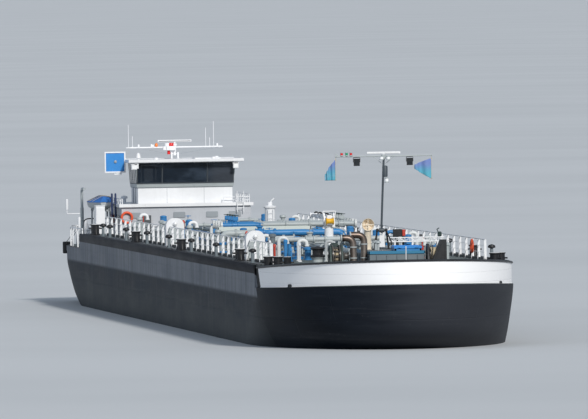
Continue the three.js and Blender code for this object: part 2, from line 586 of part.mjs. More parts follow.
// After house: a hollow house on the aft deck, with a well in its roof for the wheelhouse
const HOUSE = { x: [-52.2, -45.4], half: 3.25, roof: 6.75, plate: 0.1, wall: 0.12, eave: 0.1 };
const TRUNK = { x: [-49.3, -45.75], half: 2.38, low: 5, floor: 6.82, high: 7.59, wall: 0.12 };
const HOUSE_DOOR = { x: [-51.2, -50.4], z: [AFT_DECK + 0.16, 6.42] };

function buildHouse() {
  const { x, half, roof, wall, eave } = HOUSE;
  const under = roof - HOUSE.plate;
  const room = box([x[0] + wall, x[1] - wall], [wall - half, half - wall], [AFT_DECK + 0.08, under + 1]);
  add("after_house", fuse([box(x, [-half, half], [ON_AFT_DECK, under - GAP])],
    [room, box(HOUSE_DOOR.x, [-half - 1, half + 1], HOUSE_DOOR.z)]), WHITE);
  const well = box([TRUNK.x[0] - RUN, TRUNK.x[1] + RUN], [-TRUNK.half - RUN, TRUNK.half + RUN], [under - 1, roof + 1]);
  add("house_roof", fuse([box([x[0] - eave, x[1] + eave], [-half - eave, half + eave], [under, roof])], [well]), WHITE);

  const leaf = box([HOUSE_DOOR.x[0] + RUN, HOUSE_DOOR.x[1] - RUN], [half - 0.06, half - 0.01], [HOUSE_DOOR.z[0] + RUN, HOUSE_DOOR.z[1] - RUN]);
  const handle = box([HOUSE_DOOR.x[0] + 0.1, HOUSE_DOOR.x[0] + 0.22], [half - 0.03, half + 0.04], [5.6, 5.65]);
  addPair("house_door", fuse([leaf, handle]), WHITE);
}

// Wheelhouse: a white trunk that rides up and down in the well, a band of windows that leans
// out towards the roof, and the console and chair that show through the glass
const BAND = { low: 7.59, sill: 7.845, head: 8.78, high: 8.83, wall: 0.1, lean: 0.34, flare: 0.09 };
const CABIN_DOOR = { y: [-1.9, -1.1], z: [6.92, 8.68] };
const ROOF = { x: [-49.55, -44.95], half: 2.86, low: BAND.high + GAP, high: 8.98 };
const PANES = {
  front: [[-2.38, -1.19], [-1.13, 1.09], [1.15, 2.38]],
  side: [[-49.1, -47.6], [-47.52, -45.95]],
  aft: [[-0.9, 0.6], [0.7, 2.25]],
};

// The window band's outer form, leaning forward at the front and out at the sides, taken in on
// all four sides by an inset
function bandBlock(inset, low, high) {
  const corners = [low, high].flatMap((z) => {
    const t = (z - BAND.low) / (BAND.high - BAND.low);
    const aft = TRUNK.x[0] - 0.05 + inset;
    const front = TRUNK.x[1] + 0.05 + BAND.lean * t - inset;
    const side = TRUNK.half + 0.05 + BAND.flare * t - inset;
    return [[aft, 0, z], [aft, side, z], [front, side, z], [front, 0, z], [front, -side, z], [aft, -side, z]];
  });
  return skin([corners.slice(0, 6), corners.slice(6)]);
}

function buildWheelhouse() {
  const inside = [TRUNK.x[0] + TRUNK.wall, TRUNK.x[1] - TRUNK.wall];
  const across = [TRUNK.wall - TRUNK.half, TRUNK.half - TRUNK.wall];
  const doorway = box([TRUNK.x[0] - 0.4, TRUNK.x[0] + 0.4], CABIN_DOOR.y, CABIN_DOOR.z);
  add("wheelhouse_trunk", fuse([box(TRUNK.x, [-TRUNK.half, TRUNK.half], [TRUNK.low, TRUNK.high])],
    [box(inside, across, [0, TRUNK.floor - 0.08]), box(inside, across, [TRUNK.floor, 9]), doorway]), WHITE);

  const window = (x, y) => box(x, y, [BAND.sill, BAND.head]);
  add("window_band", fuse([bandBlock(0, BAND.low + GAP, BAND.high)], [
    bandBlock(BAND.wall, BAND.low - 0.01, BAND.high + 0.01),
    doorway,
    ...PANES.front.map((y) => window([-47, -44], y)),
    ...PANES.side.map((x) => window(x, [-4, 4])),
    ...PANES.aft.map((y) => window([-50, -48.5], y)),
  ]), PIPE_GREY);

  const beside = box([TRUNK.x[0] - 1, TRUNK.x[0] + 0.8], [CABIN_DOOR.y[0] - 0.1, CABIN_DOOR.y[1] + 0.1], [7, 9]);
  add("wheelhouse_glass", fuse([bandBlock(BAND.wall + GAP, BAND.sill - 0.08, BAND.head + 0.02)],
    [bandBlock(BAND.wall + 0.035, BAND.sill - 0.1, BAND.head + 0.04), beside]), GLASS);

  add("helm_console", fuse([plate([[-47.1, 0], [-46.35, 0], [-46.35, 1], [-46.5, 1.12], [-46.7, 1.12], [-47.1, 0.85]], -1.5, 1.5, "xz")]),
    DECK_GREY, [0, 0, TRUNK.floor + GAP]);
  add("helm_chair", fuse([
    turned([[0, 0], [0.3, 0], [0.3, 0.04], [0.06, 0.04], [0.06, 0.48], [0, 0.48]], [0, 0, 0], 10),
    box([-0.26, 0.28], [-0.27, 0.27], [0.46, 0.62]), box([-0.34, -0.22], [-0.25, 0.25], [0.5, 1.35]),
    box([-0.24, 0.2], [-0.36, -0.26], [0.56, 0.84]), box([-0.24, 0.2], [0.26, 0.36], [0.56, 0.84]),
  ]), BLACK, [-47.75, 0, TRUNK.floor + GAP]);

  const [low, high] = [CABIN_DOOR.z[0] + RUN, CABIN_DOOR.z[1] - RUN];
  const leaf = box([TRUNK.x[0] - 0.05, TRUNK.x[0] + 0.01], [CABIN_DOOR.y[0] + RUN, CABIN_DOOR.y[1] - RUN], [low, high]);
  const light = box([TRUNK.x[0] - 1, TRUNK.x[0] + 1], [CABIN_DOOR.y[0] + 0.18, CABIN_DOOR.y[1] - 0.18], [BAND.sill, high - 0.12]);
  add("wheelhouse_door", fuse([leaf], [light]), WHITE);
}

// Wheelhouse roof: a slab with the foot of its folding mast, an arm for the blue board and
// two floodlights below its front corners
const ROOF_MAST = { x: -49.1, y: -0.18, rise: 0.24, yard: 0.335, top: 0.51, pin: 0.03 };
const BOARD = { x: -46.9, y: -3.41, z: 8.87, size: 1 };
const AERIALS = [[-2.33, 1.16], [-2.13, 0.58], [1.58, 0.95], [1.78, 0.45], [1.98, 1.28]];

function buildRoof() {
  const { x, half, low, high } = ROOF;
  const mast = ROOF_MAST;
  const arm = BOARD.z - BOARD.size / 2 - 0.12;
  const cheek = (y) => box([mast.x - 0.12, mast.x + 0.12], [mast.y + y - 0.04, mast.y + y + 0.04], [high - 0.01, high + mast.rise + 0.08]);
  const lampArm = (y) => box([x[1] - 0.25, x[1] - 0.05], [y - 0.1, y + 0.1], [low - 0.28, low + 0.01]);
  add("wheelhouse_roof", fuse([
    box(x, [-half, half], [low, high]), lampArm(2.5), lampArm(-2.5), cheek(-0.16), cheek(0.16),
    rod("y", [mast.x, mast.y - 0.16, high + mast.rise], 0.32, mast.pin, 8),
    box([BOARD.x - 0.2, BOARD.x - 0.12], [-half - 0.3, 0.4 - half], [low + 0.06, low + 0.14]),
    box([BOARD.x - 0.2, BOARD.x - 0.12], [-half - 0.3, -half - 0.22], [arm, low + 0.14]),
    box([BOARD.x - 0.2, BOARD.x + 0.06], [BOARD.y - 0.05, -half - 0.22], [arm, arm + 0.06]),
  ]), WHITE);

  add("roof_mast", fuse([
    rod("z", [0, 0, -0.08], 0.08 + mast.top, 0.07, 10),
    rod("y", [0, -2.45, mast.yard], 4.7, 0.028, 6),
    box([-0.12, 0.12], [-0.58, -0.16], [0.2, 0.38]),
    turned([[0, 0], [0.15, 0], [0.15, 0.17], [0, 0.17]], [0, -0.37, 0.375], 10),
    rod("z", [0, 0, mast.top - 0.1], 0.1, 0.12, 10),
    turned([[0, 0], [0.06, 0], [0.06, 0.14], [0, 0.14]], [0, -1.1, mast.yard], 8),
    ...AERIALS.map(([y, length]) => rod("z", [0, y, mast.yard], length, 0.016, 6)),
  ], [rod("y", [0, -0.4, 0], 0.8, mast.pin + 0.01, 10)]), WHITE, [mast.x, mast.y, high + mast.rise]);
  add("roof_radar", fuse([box([-0.06, 0.06], [-0.85, 0.85], [0.09, 0.19]), rod("z", [0, 0, 0], 0.12, 0.06, 8)]),
    WHITE, [mast.x, mast.y, high + mast.rise + mast.top + GAP]);

  add("blue_board", fuse([
    box([-0.025, 0.025], [-BOARD.size / 2, BOARD.size / 2], [-BOARD.size / 2, BOARD.size / 2]),
    rod("z", [0, 0, -BOARD.size / 2 - 0.055], 0.1, 0.03, 8),
  ]), BLUE, [BOARD.x, BOARD.y, BOARD.z]);
}

// Aft deck: locker, covered dinghy and its davit, exhausts, winch with bollards, and the rail
const DAVIT = { x: -50.9, y: -4.75, post: 1.9, rise: 0.95 };
const DINGHY = { x: [-50.2, -47.3], y: -4.09, half: 0.62, keel: 1.79, sheer: 0.42, crown: 0.72 };
const LOCKER = { x: -45.2, y: -4.375, high: 2.05 };

function buildAftDeck() {
  add("deck_locker", fuse([box([-0.4, 0.4], [-0.225, 0.225], [0, LOCKER.high])]), WHITE, [LOCKER.x, LOCKER.y, ON_AFT_DECK]);

  const hullRing = (z, half, fore, aft) => [[aft, 0, z], [aft, half * 0.8, z], [fore - 0.8, half, z], [fore, 0, z], [fore - 0.8, -half, z], [aft, -half * 0.8, z]];
  const { x, half, keel, sheer, crown } = DINGHY;
  const trestle = (at) => [
    box([at, at + 0.12], [-0.42, 0.42], [keel - 0.08, keel + 0.1]),
    box([at, at + 0.12], [-0.4, -0.28], [0, keel]), box([at, at + 0.12], [0.28, 0.4], [0, keel]),
  ];
  add("dinghy", fuse([
    skin([hullRing(keel, half * 0.6, x[1] - 0.5, x[0] + 0.1), hullRing(keel + sheer, half, x[1], x[0]),
      hullRing(keel + crown, half * 0.35, x[1] - 0.4, x[0] + 0.1)]),
    ...trestle(x[0] + 0.5), ...trestle(x[1] - 1.3),
  ]), BLUE, [0, DINGHY.y, ON_AFT_DECK]);

  add("davit_post", fuse([turned([[0, 0], [0.18, 0], [0.18, 0.04], [0.09, 0.04], [0.09, DAVIT.post], [0, DAVIT.post]], [0, 0, 0], 12)]),
    PIPE_GREY, [DAVIT.x, DAVIT.y, ON_AFT_DECK]);
  add("davit_arm", fuse([
    pipe([[0, 0, 0], [0, 0, DAVIT.rise], [1.5, 0, DAVIT.rise]], 0.07, 0.35, 8),
  ]), WHITE, [DAVIT.x, DAVIT.y, ON_AFT_DECK + DAVIT.post + GAP]);

  const stack = (y) => pipe([[0, y, 0.3], [0, y, 1.2], [-0.45, y, 1.2]], 0.13, 0.24, 8);
  add("exhausts", fuse([box([-0.4, 0.4], [-0.7, 0.7], [0, 0.6]), stack(-0.35), stack(0.35)]), DECK_GREY, [-51.5, 0, HOUSE.roof + GAP]);

  add("stern_winch", fuse([
    box([-0.45, 0.45], [-3.4, 3.4], [0, 0.06]),
    ...[-0.6, 0.5].map((y) => plate([[-0.35, 0], [0.35, 0], [0.15, 0.6], [-0.15, 0.6]], y, y + 0.1, "xz")),
    rod("y", [0, -0.8, 0.38], 1.6, 0.06, 8), rod("y", [0, -0.55, 0.38], 1.1, 0.22, 10), rod("y", [0, 0.75, 0.38], 0.2, 0.15, 10),
    ...doubleBollard(0, -2.7, 0), ...doubleBollard(0, 2.7, 0),
  ]), BLACK, [-53.5, 0, ON_AFT_DECK]);
}

// Stern rail: posts under one top rail that follows the edge of the aft deck
const STERN_RAIL = { inset: 0.2, high: 0.95, bar: 0.03, post: 0.03 };

function buildSternRail() {
  const { inset, high, bar, post } = STERN_RAIL;
  const deck = WATERLINES[WATERLINES.length - 1];
  const quarter = halfOutline(deck)
    .slice(1, STERN_POINTS + 2)
    .map(([x, y]) => [x + inset, y - inset]);
  const fore = [AFT_STEP - 0.5, HALF - inset];
  const port = [...quarter, [(quarter[STERN_POINTS][0] + fore[0]) / 2, fore[1]], fore];
  const line = [...port.map(([x, y]) => [x, -y]).reverse(), ...port];
  const across = new THREE.Shape([[-bar, -bar], [bar, -bar], [bar, bar], [-bar, bar]].map((p) => new THREE.Vector2(...p)));
  const rail = new THREE.ExtrudeGeometry(across, {
    extrudePath: new PointPath(line.map(([x, y]) => new THREE.Vector3(x, y, high))),
    steps: line.length - 1,
    bevelEnabled: false,
  });
  const posts = [...line.slice(1, -1), [line[0][0] - 0.1, line[0][1]], [fore[0] - 0.1, fore[1]], [quarter[0][0], 1.5], [quarter[0][0], -1.5]];
  const stand = posts.map(([x, y]) => box([x - post, x + post], [y - post, y + post], [0, high]));
  add("stern_rail", fuse([rail, ...stand]), WHITE, [0, 0, ON_AFT_DECK]);
}

buildHull();
buildPropulsion();
buildBulwark();
buildSideRails();
buildMooringStrips();
buildForeHouse();
buildForedeckGear();
buildBowMast();
buildFlags();
buildCargoGear();
buildManifold();
buildCrossPipes();
buildDeckBoxes();
buildCrane();
buildHouse();
buildWheelhouse();
buildRoof();
buildAftDeck();
buildSternRail();

export default vessel;
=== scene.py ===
"""A river tank barge at 1:10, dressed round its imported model: paint, deck gear, rails and rigging.

Sizes are in metres of the full-size vessel unless a name says otherwise. SCALE turns them into
metres of the model. X points to the bow, Y to port and Z up, from the middle of the flat bottom.
"""

import math

import bmesh
import bpy
from mathutils import Matrix, Vector


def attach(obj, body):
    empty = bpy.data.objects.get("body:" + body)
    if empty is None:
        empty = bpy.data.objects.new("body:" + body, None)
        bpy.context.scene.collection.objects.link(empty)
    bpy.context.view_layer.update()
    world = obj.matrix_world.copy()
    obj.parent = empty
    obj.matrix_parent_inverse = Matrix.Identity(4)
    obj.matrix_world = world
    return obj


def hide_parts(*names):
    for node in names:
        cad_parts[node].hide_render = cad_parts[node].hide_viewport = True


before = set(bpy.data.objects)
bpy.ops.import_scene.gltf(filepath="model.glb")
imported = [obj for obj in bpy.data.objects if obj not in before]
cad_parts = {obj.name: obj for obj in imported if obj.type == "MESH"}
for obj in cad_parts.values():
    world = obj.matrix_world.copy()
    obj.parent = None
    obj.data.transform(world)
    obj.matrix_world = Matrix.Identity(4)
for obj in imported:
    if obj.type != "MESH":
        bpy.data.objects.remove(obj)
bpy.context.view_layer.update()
SCALE = 0.1


# Levels and ends that every part of the vessel goes by: the waterline, the three decks, the gap
# between a deck and the gear on it, and where the bow's curve begins and ends.
WATERLINE = 1.8
CARGO_DECK = 5.373
ON_DECK = (0, 0, CARGO_DECK)
FORE_DECK = 5.103
AFT_DECK = 4.663
CLEARANCE = 0.003
KNUCKLE = 43.6
STEM = 55.0
SIDES = (("port", 1), ("starboard", -1))


# Camera: a long lens from high on the far bank, six degrees off the bow on the starboard side,
# with the small tilt that the hand-held picture has.
CAMERA_AT = (688.4, -71.3, 18.2)
CAMERA_BEARING = math.radians(5.97)
CAMERA_DIP = math.radians(0.919)
CAMERA_TILT = math.radians(0.9)
LENS_MM = 900.0


def aim_camera():
    lens = bpy.data.cameras.new("bank_camera")
    lens.lens = LENS_MM
    lens.sensor_width = 36.0
    lens.clip_start = 1.0
    lens.clip_end = 2000.0
    camera = bpy.data.objects.new("bank_camera", lens)
    bpy.context.collection.objects.link(camera)
    look = Vector((-math.cos(CAMERA_BEARING), math.sin(CAMERA_BEARING), -math.tan(CAMERA_DIP)))
    turn = look.to_track_quat("-Z", "Y").to_matrix().to_4x4()
    place = Matrix.Translation(Vector(CAMERA_AT) * SCALE)
    camera.matrix_world = place @ turn @ Matrix.Rotation(-CAMERA_TILT, 4, "Z")
    bpy.context.scene.camera = camera


aim_camera()


# Shader helpers. Val wraps one socket, so that shader maths can be written as expressions, and
# Finish is a material whose nodes all come from its one node method.
class Val:
    def __init__(self, finish, socket):
        self.finish = finish
        self.socket = socket

    def maths(self, operation, a, b):
        return self.finish.node("ShaderNodeMath", {"operation": operation}, [a, b])

    def __add__(self, other):
        return self.maths("ADD", self, other)

    def __sub__(self, other):
        return self.maths("SUBTRACT", self, other)

    def __rsub__(self, other):
        return self.maths("SUBTRACT", other, self)

    def __mul__(self, other):
        return self.maths("MULTIPLY", self, other)

    __radd__ = __add__
    __rmul__ = __mul__

    def rises(self, low, high):
        """Goes smoothly from 0 to 1 as this value goes from low to high."""
        return self.finish.node(
            "ShaderNodeMapRange", {"interpolation_type": "SMOOTHSTEP"}, [self, low, high, 0.0, 1.0]
        )


class Finish:
    def __init__(self, name):
        self.material = bpy.data.materials.new(name)
        self.material.use_nodes = True
        self.tree = self.material.node_tree
        self.shader = self.tree.nodes["Principled BSDF"]

    def node(self, kind, settings, sockets, output=0):
        made = self.tree.nodes.new(kind)
        for name, value in settings.items():
            setattr(made, name, value)
        pairs = sockets.items() if isinstance(sockets, dict) else enumerate(sockets)
        for name, value in pairs:
            if isinstance(value, Val):
                self.tree.links.new(value.socket, made.inputs[name])
            elif value is not None:
                made.inputs[name].default_value = value
        return Val(self, made.outputs[output])

    def place(self):
        """A point on the piece, in metres of the vessel."""
        local = self.node("ShaderNodeTexCoord", {}, {}, "Object")
        return self.node("ShaderNodeVectorMath", {"operation": "SCALE"}, {0: local, "Scale": 1 / SCALE})

    def axes(self, place):
        split = self.tree.nodes.new("ShaderNodeSeparateXYZ")
        self.tree.links.new(place.socket, split.inputs[0])
        return [Val(self, socket) for socket in split.outputs]

    def stretched(self, place, factors):
        return self.node("ShaderNodeVectorMath", {"operation": "MULTIPLY"}, [place, factors])

    def noise(self, place, scale, detail=3.0, rough=0.55):
        return self.node(
            "ShaderNodeTexNoise", {}, {"Vector": place, "Scale": scale, "Detail": detail, "Roughness": rough}
        )

    def blend(self, factor, a, b):
        colours = [(*c, 1.0) if isinstance(c, tuple) else c for c in (a, b)]
        return self.node(
            "ShaderNodeMix", {"data_type": "RGBA"}, {0: factor, 6: colours[0], 7: colours[1]}, 2
        )

    def coats(self, base, *coats):
        """A colour with further coats over it, each a factor and a colour."""
        for factor, colour in coats:
            base = self.blend(factor, base, colour)
        return base

    def bump(self, height, depth, strength=0.6):
        """Depth is in metres of the vessel."""
        sockets = {"Strength": strength, "Distance": depth * SCALE, "Height": height}
        return self.node("ShaderNodeBump", {}, sockets)

    def wear(self, colour=None, rough=None, normal=None, **same):
        """Links what varies over the surface, and sets what is the same all over."""
        for name, value in (("Base Color", colour), ("Roughness", rough), ("Normal", normal)):
            if isinstance(value, Val):
                self.tree.links.new(value.socket, self.shader.inputs[name])
            elif value is not None:
                self.shader.inputs[name].default_value = (*value, 1.0) if isinstance(value, tuple) else value
        for name, value in same.items():
            self.shader.inputs[name.replace("_", " ").title().replace("Ior", "IOR")].default_value = value
        return self.material


def worn_paint(name, colour, rough=0.45, grime=0.35, patch=0.7, dark=None):
    """Brushed marine paint: broad fading, and grime that runs down."""
    paint = Finish(name)
    at = paint.place()
    broad = paint.noise(at, patch, 4.0)
    runs = paint.noise(paint.stretched(at, (3.0, 3.0, 0.5)), 1.6, 5.0, 0.65)
    dark = dark or tuple(c * 0.55 for c in colour)
    light = tuple(min(1.0, c * 1.08 + 0.01) for c in colour)
    tone = paint.coats(colour, (broad.rises(0.35, 0.7), light), (runs.rises(0.52, 0.8) * grime, dark))
    fine = paint.noise(at, 9.0, 4.0)
    return paint.wear(
        tone, runs * 0.25 + (rough - 0.1), paint.bump(fine + runs, 0.012, 0.35), specular_ior_level=0.4
    )


# Floor and light: a pale floor at the waterline, a warm key from ahead on the port side, which
# leaves the starboard side in cool shade, and a pale sky.
KEY_FROM = (0.85, 0.22, 0.52)
FILL_FROM = (0.55, -0.8, 0.5)


def lay_floor():
    reach = 1500.0
    mesh = bpy.data.meshes.new("floor")
    corners = [(-reach, -reach), (reach, -reach), (reach, reach), (-reach, reach)]
    mesh.from_pydata([(x, y, WATERLINE * SCALE) for x, y in corners], [], [(0, 1, 2, 3)])
    floor = bpy.data.objects.new("floor", mesh)
    bpy.context.collection.objects.link(floor)
    ground = Finish("pale_floor")
    tone = ground.noise(ground.place(), 0.02, 3.0).rises(0.3, 0.7)
    mesh.materials.append(ground.wear(ground.blend(tone, (0.60, 0.62, 0.64), (0.64, 0.66, 0.68)), 0.7))


def hang_light(name, direction, strength, colour, softness):
    """A sun that shines from a direction, with its softness in degrees."""
    lamp = bpy.data.lights.new(name, "SUN")
    lamp.energy = strength
    lamp.color = colour
    lamp.angle = math.radians(softness)
    light = bpy.data.objects.new(name, lamp)
    light.rotation_euler = Vector(direction).to_track_quat("Z", "Y").to_euler()
    bpy.context.collection.objects.link(light)


def light_sky():
    world = bpy.data.worlds.new("sky")
    world.use_nodes = True
    background = world.node_tree.nodes["Background"]
    background.inputs["Color"].default_value = (0.72, 0.84, 1.0, 1.0)
    background.inputs["Strength"].default_value = 0.38
    bpy.context.scene.world = world


lay_floor()
light_sky()
hang_light("key_light", KEY_FROM, 2.8, (1.0, 0.97, 0.92), 6.0)
hang_light("fill_light", FILL_FROM, 0.15, (0.80, 0.88, 1.0), 40.0)
bpy.context.scene.view_settings.view_transform = "Standard"


# A material slot name for each paint, which piece looks up when a call names no slot of its own.
# Piece then gives the slot to nothing.
PAINTS_IN_SLOT = {
    "black_paint": "black_gear_paint greased_iron windlass_green_paint black_hose deep_grey_paint",
    "white_paint": "white_gloss_paint bollard_cap_white valve_white catwalk_paint",
    "pipe_paint": "pale_pipe_paint grey_green_paint mast_grey_paint window_frame_grey boat_hull_grey",
    "window_glass": "lamp_glass dark_glass",
    "blue_paint": "house_edge_blue pipe_blue_paint",
    "cream_paint": (
        "cream_vent_paint hook_yellow_paint hydrant_red_paint "
        "red_lens orange_lens signal_orange_paint"
    ),
    "boat_cover": "boat_cover_cloth",
}
SLOT_OF = {paint: slot for slot, paints in PAINTS_IN_SLOT.items() for paint in paints.split()}


# Metal work: plain shapes laid up in one mesh, in metres of the vessel, and then made one piece
# that rides on a body of the model.
BOX_FACES = [(0, 2, 3, 1), (4, 5, 7, 6), (0, 1, 5, 4), (2, 6, 7, 3), (0, 4, 6, 2), (1, 3, 7, 5)]


def circle(count, first=0.0):
    """The cosine and sine of equal steps round a circle. The first stands at so many degrees."""
    turns = [math.radians(first) + 2 * math.pi * k / count for k in range(count)]
    return [(math.cos(turn), math.sin(turn)) for turn in turns]


def about(middle, half):
    """The two ends of a span, from its middle and half its length."""
    return middle - half, middle + half


def spread(first, pitch, count):
    """Places in a row at an equal pitch."""
    return [first + pitch * k for k in range(count)]


def set_out(at, axis, u, v, high):
    """The point that lies u and v across an axis and high along it, from a given point."""
    local = {"z": (u, v, high), "x": (high, u, v), "y": (v, high, u)}[axis]
    return tuple(a + b for a, b in zip(at, local))


class Work:
    def __init__(self):
        self.points = []
        self.faces = []

    def add(self, points, faces):
        start = len(self.points)
        self.points += [tuple(p) for p in points]
        self.faces += [tuple(start + i for i in face) for face in faces]
        return self

    def swept(self, sections, hoop=False):
        """A skin over sections of equally many points. A hoop joins the last one to the first."""
        rows, count = len(sections), len(sections[0])
        faces = []
        for i in range(rows if hoop else rows - 1):
            low, high = i * count, (i + 1) % rows * count
            for k in range(count):
                on = (k + 1) % count
                faces.append((low + k, low + on, high + on, high + k))
        if not hoop:
            faces += [range(count)[::-1], range((rows - 1) * count, rows * count)]
        return self.add([p for section in sections for p in section], faces)

    def block(self, x, y, z):
        return self.add([(a, b, c) for c in z for b in y for a in x], BOX_FACES)

    def post(self, x, y, half, z):
        """An upright square bar."""
        return self.block(about(x, half), about(y, half), z)

    def leg(self, x, y, half, high, pad, thick=0.02):
        """A square bar that stands on a pad."""
        return self.post(x, y, half, (0, high)).post(x, y, pad, (0, thick))

    def rim(self, x, y, wide, z):
        """Four bars just inside a rectangle."""
        for low in (y[0], y[1] - wide):
            self.block(x, (low, low + wide), z)
        for low in (x[0], x[1] - wide):
            self.block((low, low + wide), y, z)
        return self

    def tube(self, path, radius, sides=10):
        """A round bar through every point of the path."""
        path = [Vector(p) for p in path]
        sections = []
        aside = None
        for i, at in enumerate(path):
            along = (path[min(i + 1, len(path) - 1)] - path[max(i - 1, 0)]).normalized()
            if aside is None:
                aside = along.orthogonal().normalized()
            aside = (aside - along * aside.dot(along)).normalized()
            other = along.cross(aside)
            sections.append([at + (aside * u + other * v) * radius for u, v in circle(sides)])
        return self.swept(sections)

    def pipe(self, corners, radius, elbow, sides=12, steps=5):
        """A round pipe through corner points, with an elbow at each corner between the ends."""
        at = [Vector(c) for c in corners]
        path = [at[0]]
        for i in range(1, len(at) - 1):
            back = at[i] + (at[i - 1] - at[i]).normalized() * elbow
            on = at[i] + (at[i + 1] - at[i]).normalized() * elbow
            for k in range(steps + 1):
                t = k / steps
                path.append(back.lerp(at[i], t).lerp(at[i].lerp(on, t), t))
        path.append(at[-1])
        return self.tube(path, radius, sides)

    def turned(self, profile, at=(0, 0, 0), axis="z", sides=20):
        """A profile of (radius, height) points turned round an axis."""
        rim = circle(sides)
        return self.swept([
            [set_out(at, axis, radius * u, radius * v, high) for u, v in rim] for radius, high in profile
        ])

    def slab(self, outline, low, high, plane="xy"):
        """A flat outline given thickness along the axis that its plane leaves out."""
        order = {"xy": (0, 1, 2), "xz": (0, 2, 1), "yz": (2, 0, 1)}[plane]
        return self.swept([
            [[(*point, level)[i] for i in order] for point in outline] for level in (low, high)
        ])

    def ring(self, centre, radius, wire, axis="z", sides=6, steps=16):
        """A closed hoop of round bar."""
        sections = []
        for u, v in circle(steps):
            bar = [(radius + wire * out, wire * up) for out, up in circle(sides)]
            sections.append([set_out(centre, axis, reach * u, reach * v, high) for reach, high in bar])
        return self.swept(sections, hoop=True)

    def copy(self, other, at=(0, 0, 0), turn=0.0, flip=False):
        """Another piece of work, turned about its own upright axis, flipped to starboard, or both."""
        place = Matrix.Translation(Vector(at)) @ Matrix.Rotation(math.radians(turn), 4, "Z")
        if flip:
            place = place @ Matrix.Diagonal((1, -1, 1, 1))
        faces = [face[::-1] for face in other.faces] if flip else other.faces
        return self.add([place @ Vector(p) for p in other.points], faces)

    def mesh(self, name):
        """The work as one mesh at model size, with every closed shell facing out."""
        made = bpy.data.meshes.new(name)
        made.from_pydata([tuple(c * SCALE for c in p) for p in self.points], [], self.faces)
        loose = bmesh.new()
        loose.from_mesh(made)
        bmesh.ops.recalc_face_normals(loose, faces=loose.faces)
        loose.to_mesh(made)
        loose.free()
        return made

    def piece(self, name, material, body="ship", slot=None, at=None, bevel=0.0, stands_for=(), sharp=38.0):
        """Makes the work an object that rides on a body, moved to a place first if one is given."""
        mesh = (Work().copy(self, at) if at else self).mesh(name)
        mesh.materials.append(material)
        mesh.shade_smooth()
        mesh.set_sharp_from_angle(angle=math.radians(sharp))
        made = bpy.data.objects.new(name, mesh)
        bpy.context.collection.objects.link(made)
        if bevel:
            soften = made.modifiers.new("softened_edges", "BEVEL")
            soften.width = bevel * SCALE
            soften.segments = 2
            soften.limit_method = "ANGLE"
            soften.angle_limit = math.radians(50)
        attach(made, body)
        slot = slot or SLOT_OF.get(material.name)
        if stands_for:
            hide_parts(*stands_for)
        return made


def both_sides(port):
    """A piece of work and its mirror image across the centreline."""
    return Work().copy(port).copy(port, flip=True)


# Paints and metals that several pieces share.
WHITE = worn_paint("white_gloss_paint", (0.80, 0.81, 0.83), 0.35, 0.22, dark=(0.42, 0.41, 0.39))
BLACK = worn_paint("black_gear_paint", (0.011, 0.012, 0.015), 0.42, 0.25, dark=(0.05, 0.046, 0.042))
DECK_GREEN = worn_paint("grey_green_paint", (0.145, 0.175, 0.195), 0.5, 0.3)
PIPE_GREY = worn_paint("pale_pipe_paint", (0.40, 0.44, 0.45), 0.42, 0.35)
BLUE = worn_paint("pipe_blue_paint", (0.032, 0.20, 0.46), 0.38, 0.2)
CREAM = worn_paint("cream_vent_paint", (0.78, 0.68, 0.54), 0.4, 0.15)
BOARD_BLUE = worn_paint("board_blue_paint", (0.035, 0.24, 0.62), 0.35, 0.1)


# Hull: welded steel shell plating on a flat bottom, with a rounded bilge, a spoon bow and a raked
# stern over one propeller tunnel. It is lofted through the waterlines below, the two decks and the
# tunnel are cut out of it, and skeg, shaft boss and rubbing strakes are welded on.
SIDE = 5.66
BAND_HALF = 5.59
BAND_TIP = 54.92
HULL_LINES = [  # height, half breadth, bow curve's start and tip, stern curve's start and tip, transom
    (0.0, 5.25, 34.0, 44.0, -33.0, -43.5, 2.4),
    (0.45, 5.62, 36.5, 48.6, -34.0, -45.0, 2.8),
    (1.2, SIDE, 38.5, 51.6, -37.0, -47.6, 3.2),
    (1.95, SIDE, 40.0, 53.3, -41.0, -51.4, 3.6),
    (2.6, SIDE, 41.0, 54.6, -44.0, -53.6, 3.9),
    (3.8, SIDE, 43.0, 54.95, -47.5, -55.0, 4.4),
    (4.38, SIDE, KNUCKLE, STEM, -48.0, -55.0, 4.35),
]
LEDGE = 4.38
SHEER_RISE = 0.25
LEVEL_STEPS = 4
BOW_STEPS = 60
STERN_STEPS = 20
TUNNEL_RADIUS = 1.12
SHAFT_Z = 0.98
AFT_STEP = -42.4
FORE_STEP = 44.1
TOPSIDE_LOW = 3.92
BELT_LOW = 5.0
BOOT_TOP = 1.62
EDGE_BLACK = (0.006, 0.007, 0.009)


def eased(column, i, t):
    """A value between rows i and i + 1 of a column, on a curve through all its rows."""
    a, b = column[max(i - 1, 0)], column[i]
    c, d = column[i + 1], column[min(i + 2, len(column) - 1)]
    curve = (2 * a - 5 * b + 4 * c - d) * t * t + (3 * b - a - 3 * c + d) * t**3
    return min(max(0.5 * (2 * b + (c - a) * t + curve), min(column)), max(column))


def hull_levels():
    """The rows of HULL_LINES with eased rows between them."""
    columns = list(zip(*HULL_LINES))
    levels = []
    for i in range(len(HULL_LINES) - 1):
        levels += [[eased(column, i, k / LEVEL_STEPS) for column in columns] for k in range(LEVEL_STEPS)]
    levels.append(list(HULL_LINES[-1]))
    return levels


def sheer_lift(x):
    """How far the band round the bow has risen at a station, towards the stem."""
    return SHEER_RISE * max(0.0, (x - KNUCKLE) / (STEM - KNUCKLE)) ** 1.3


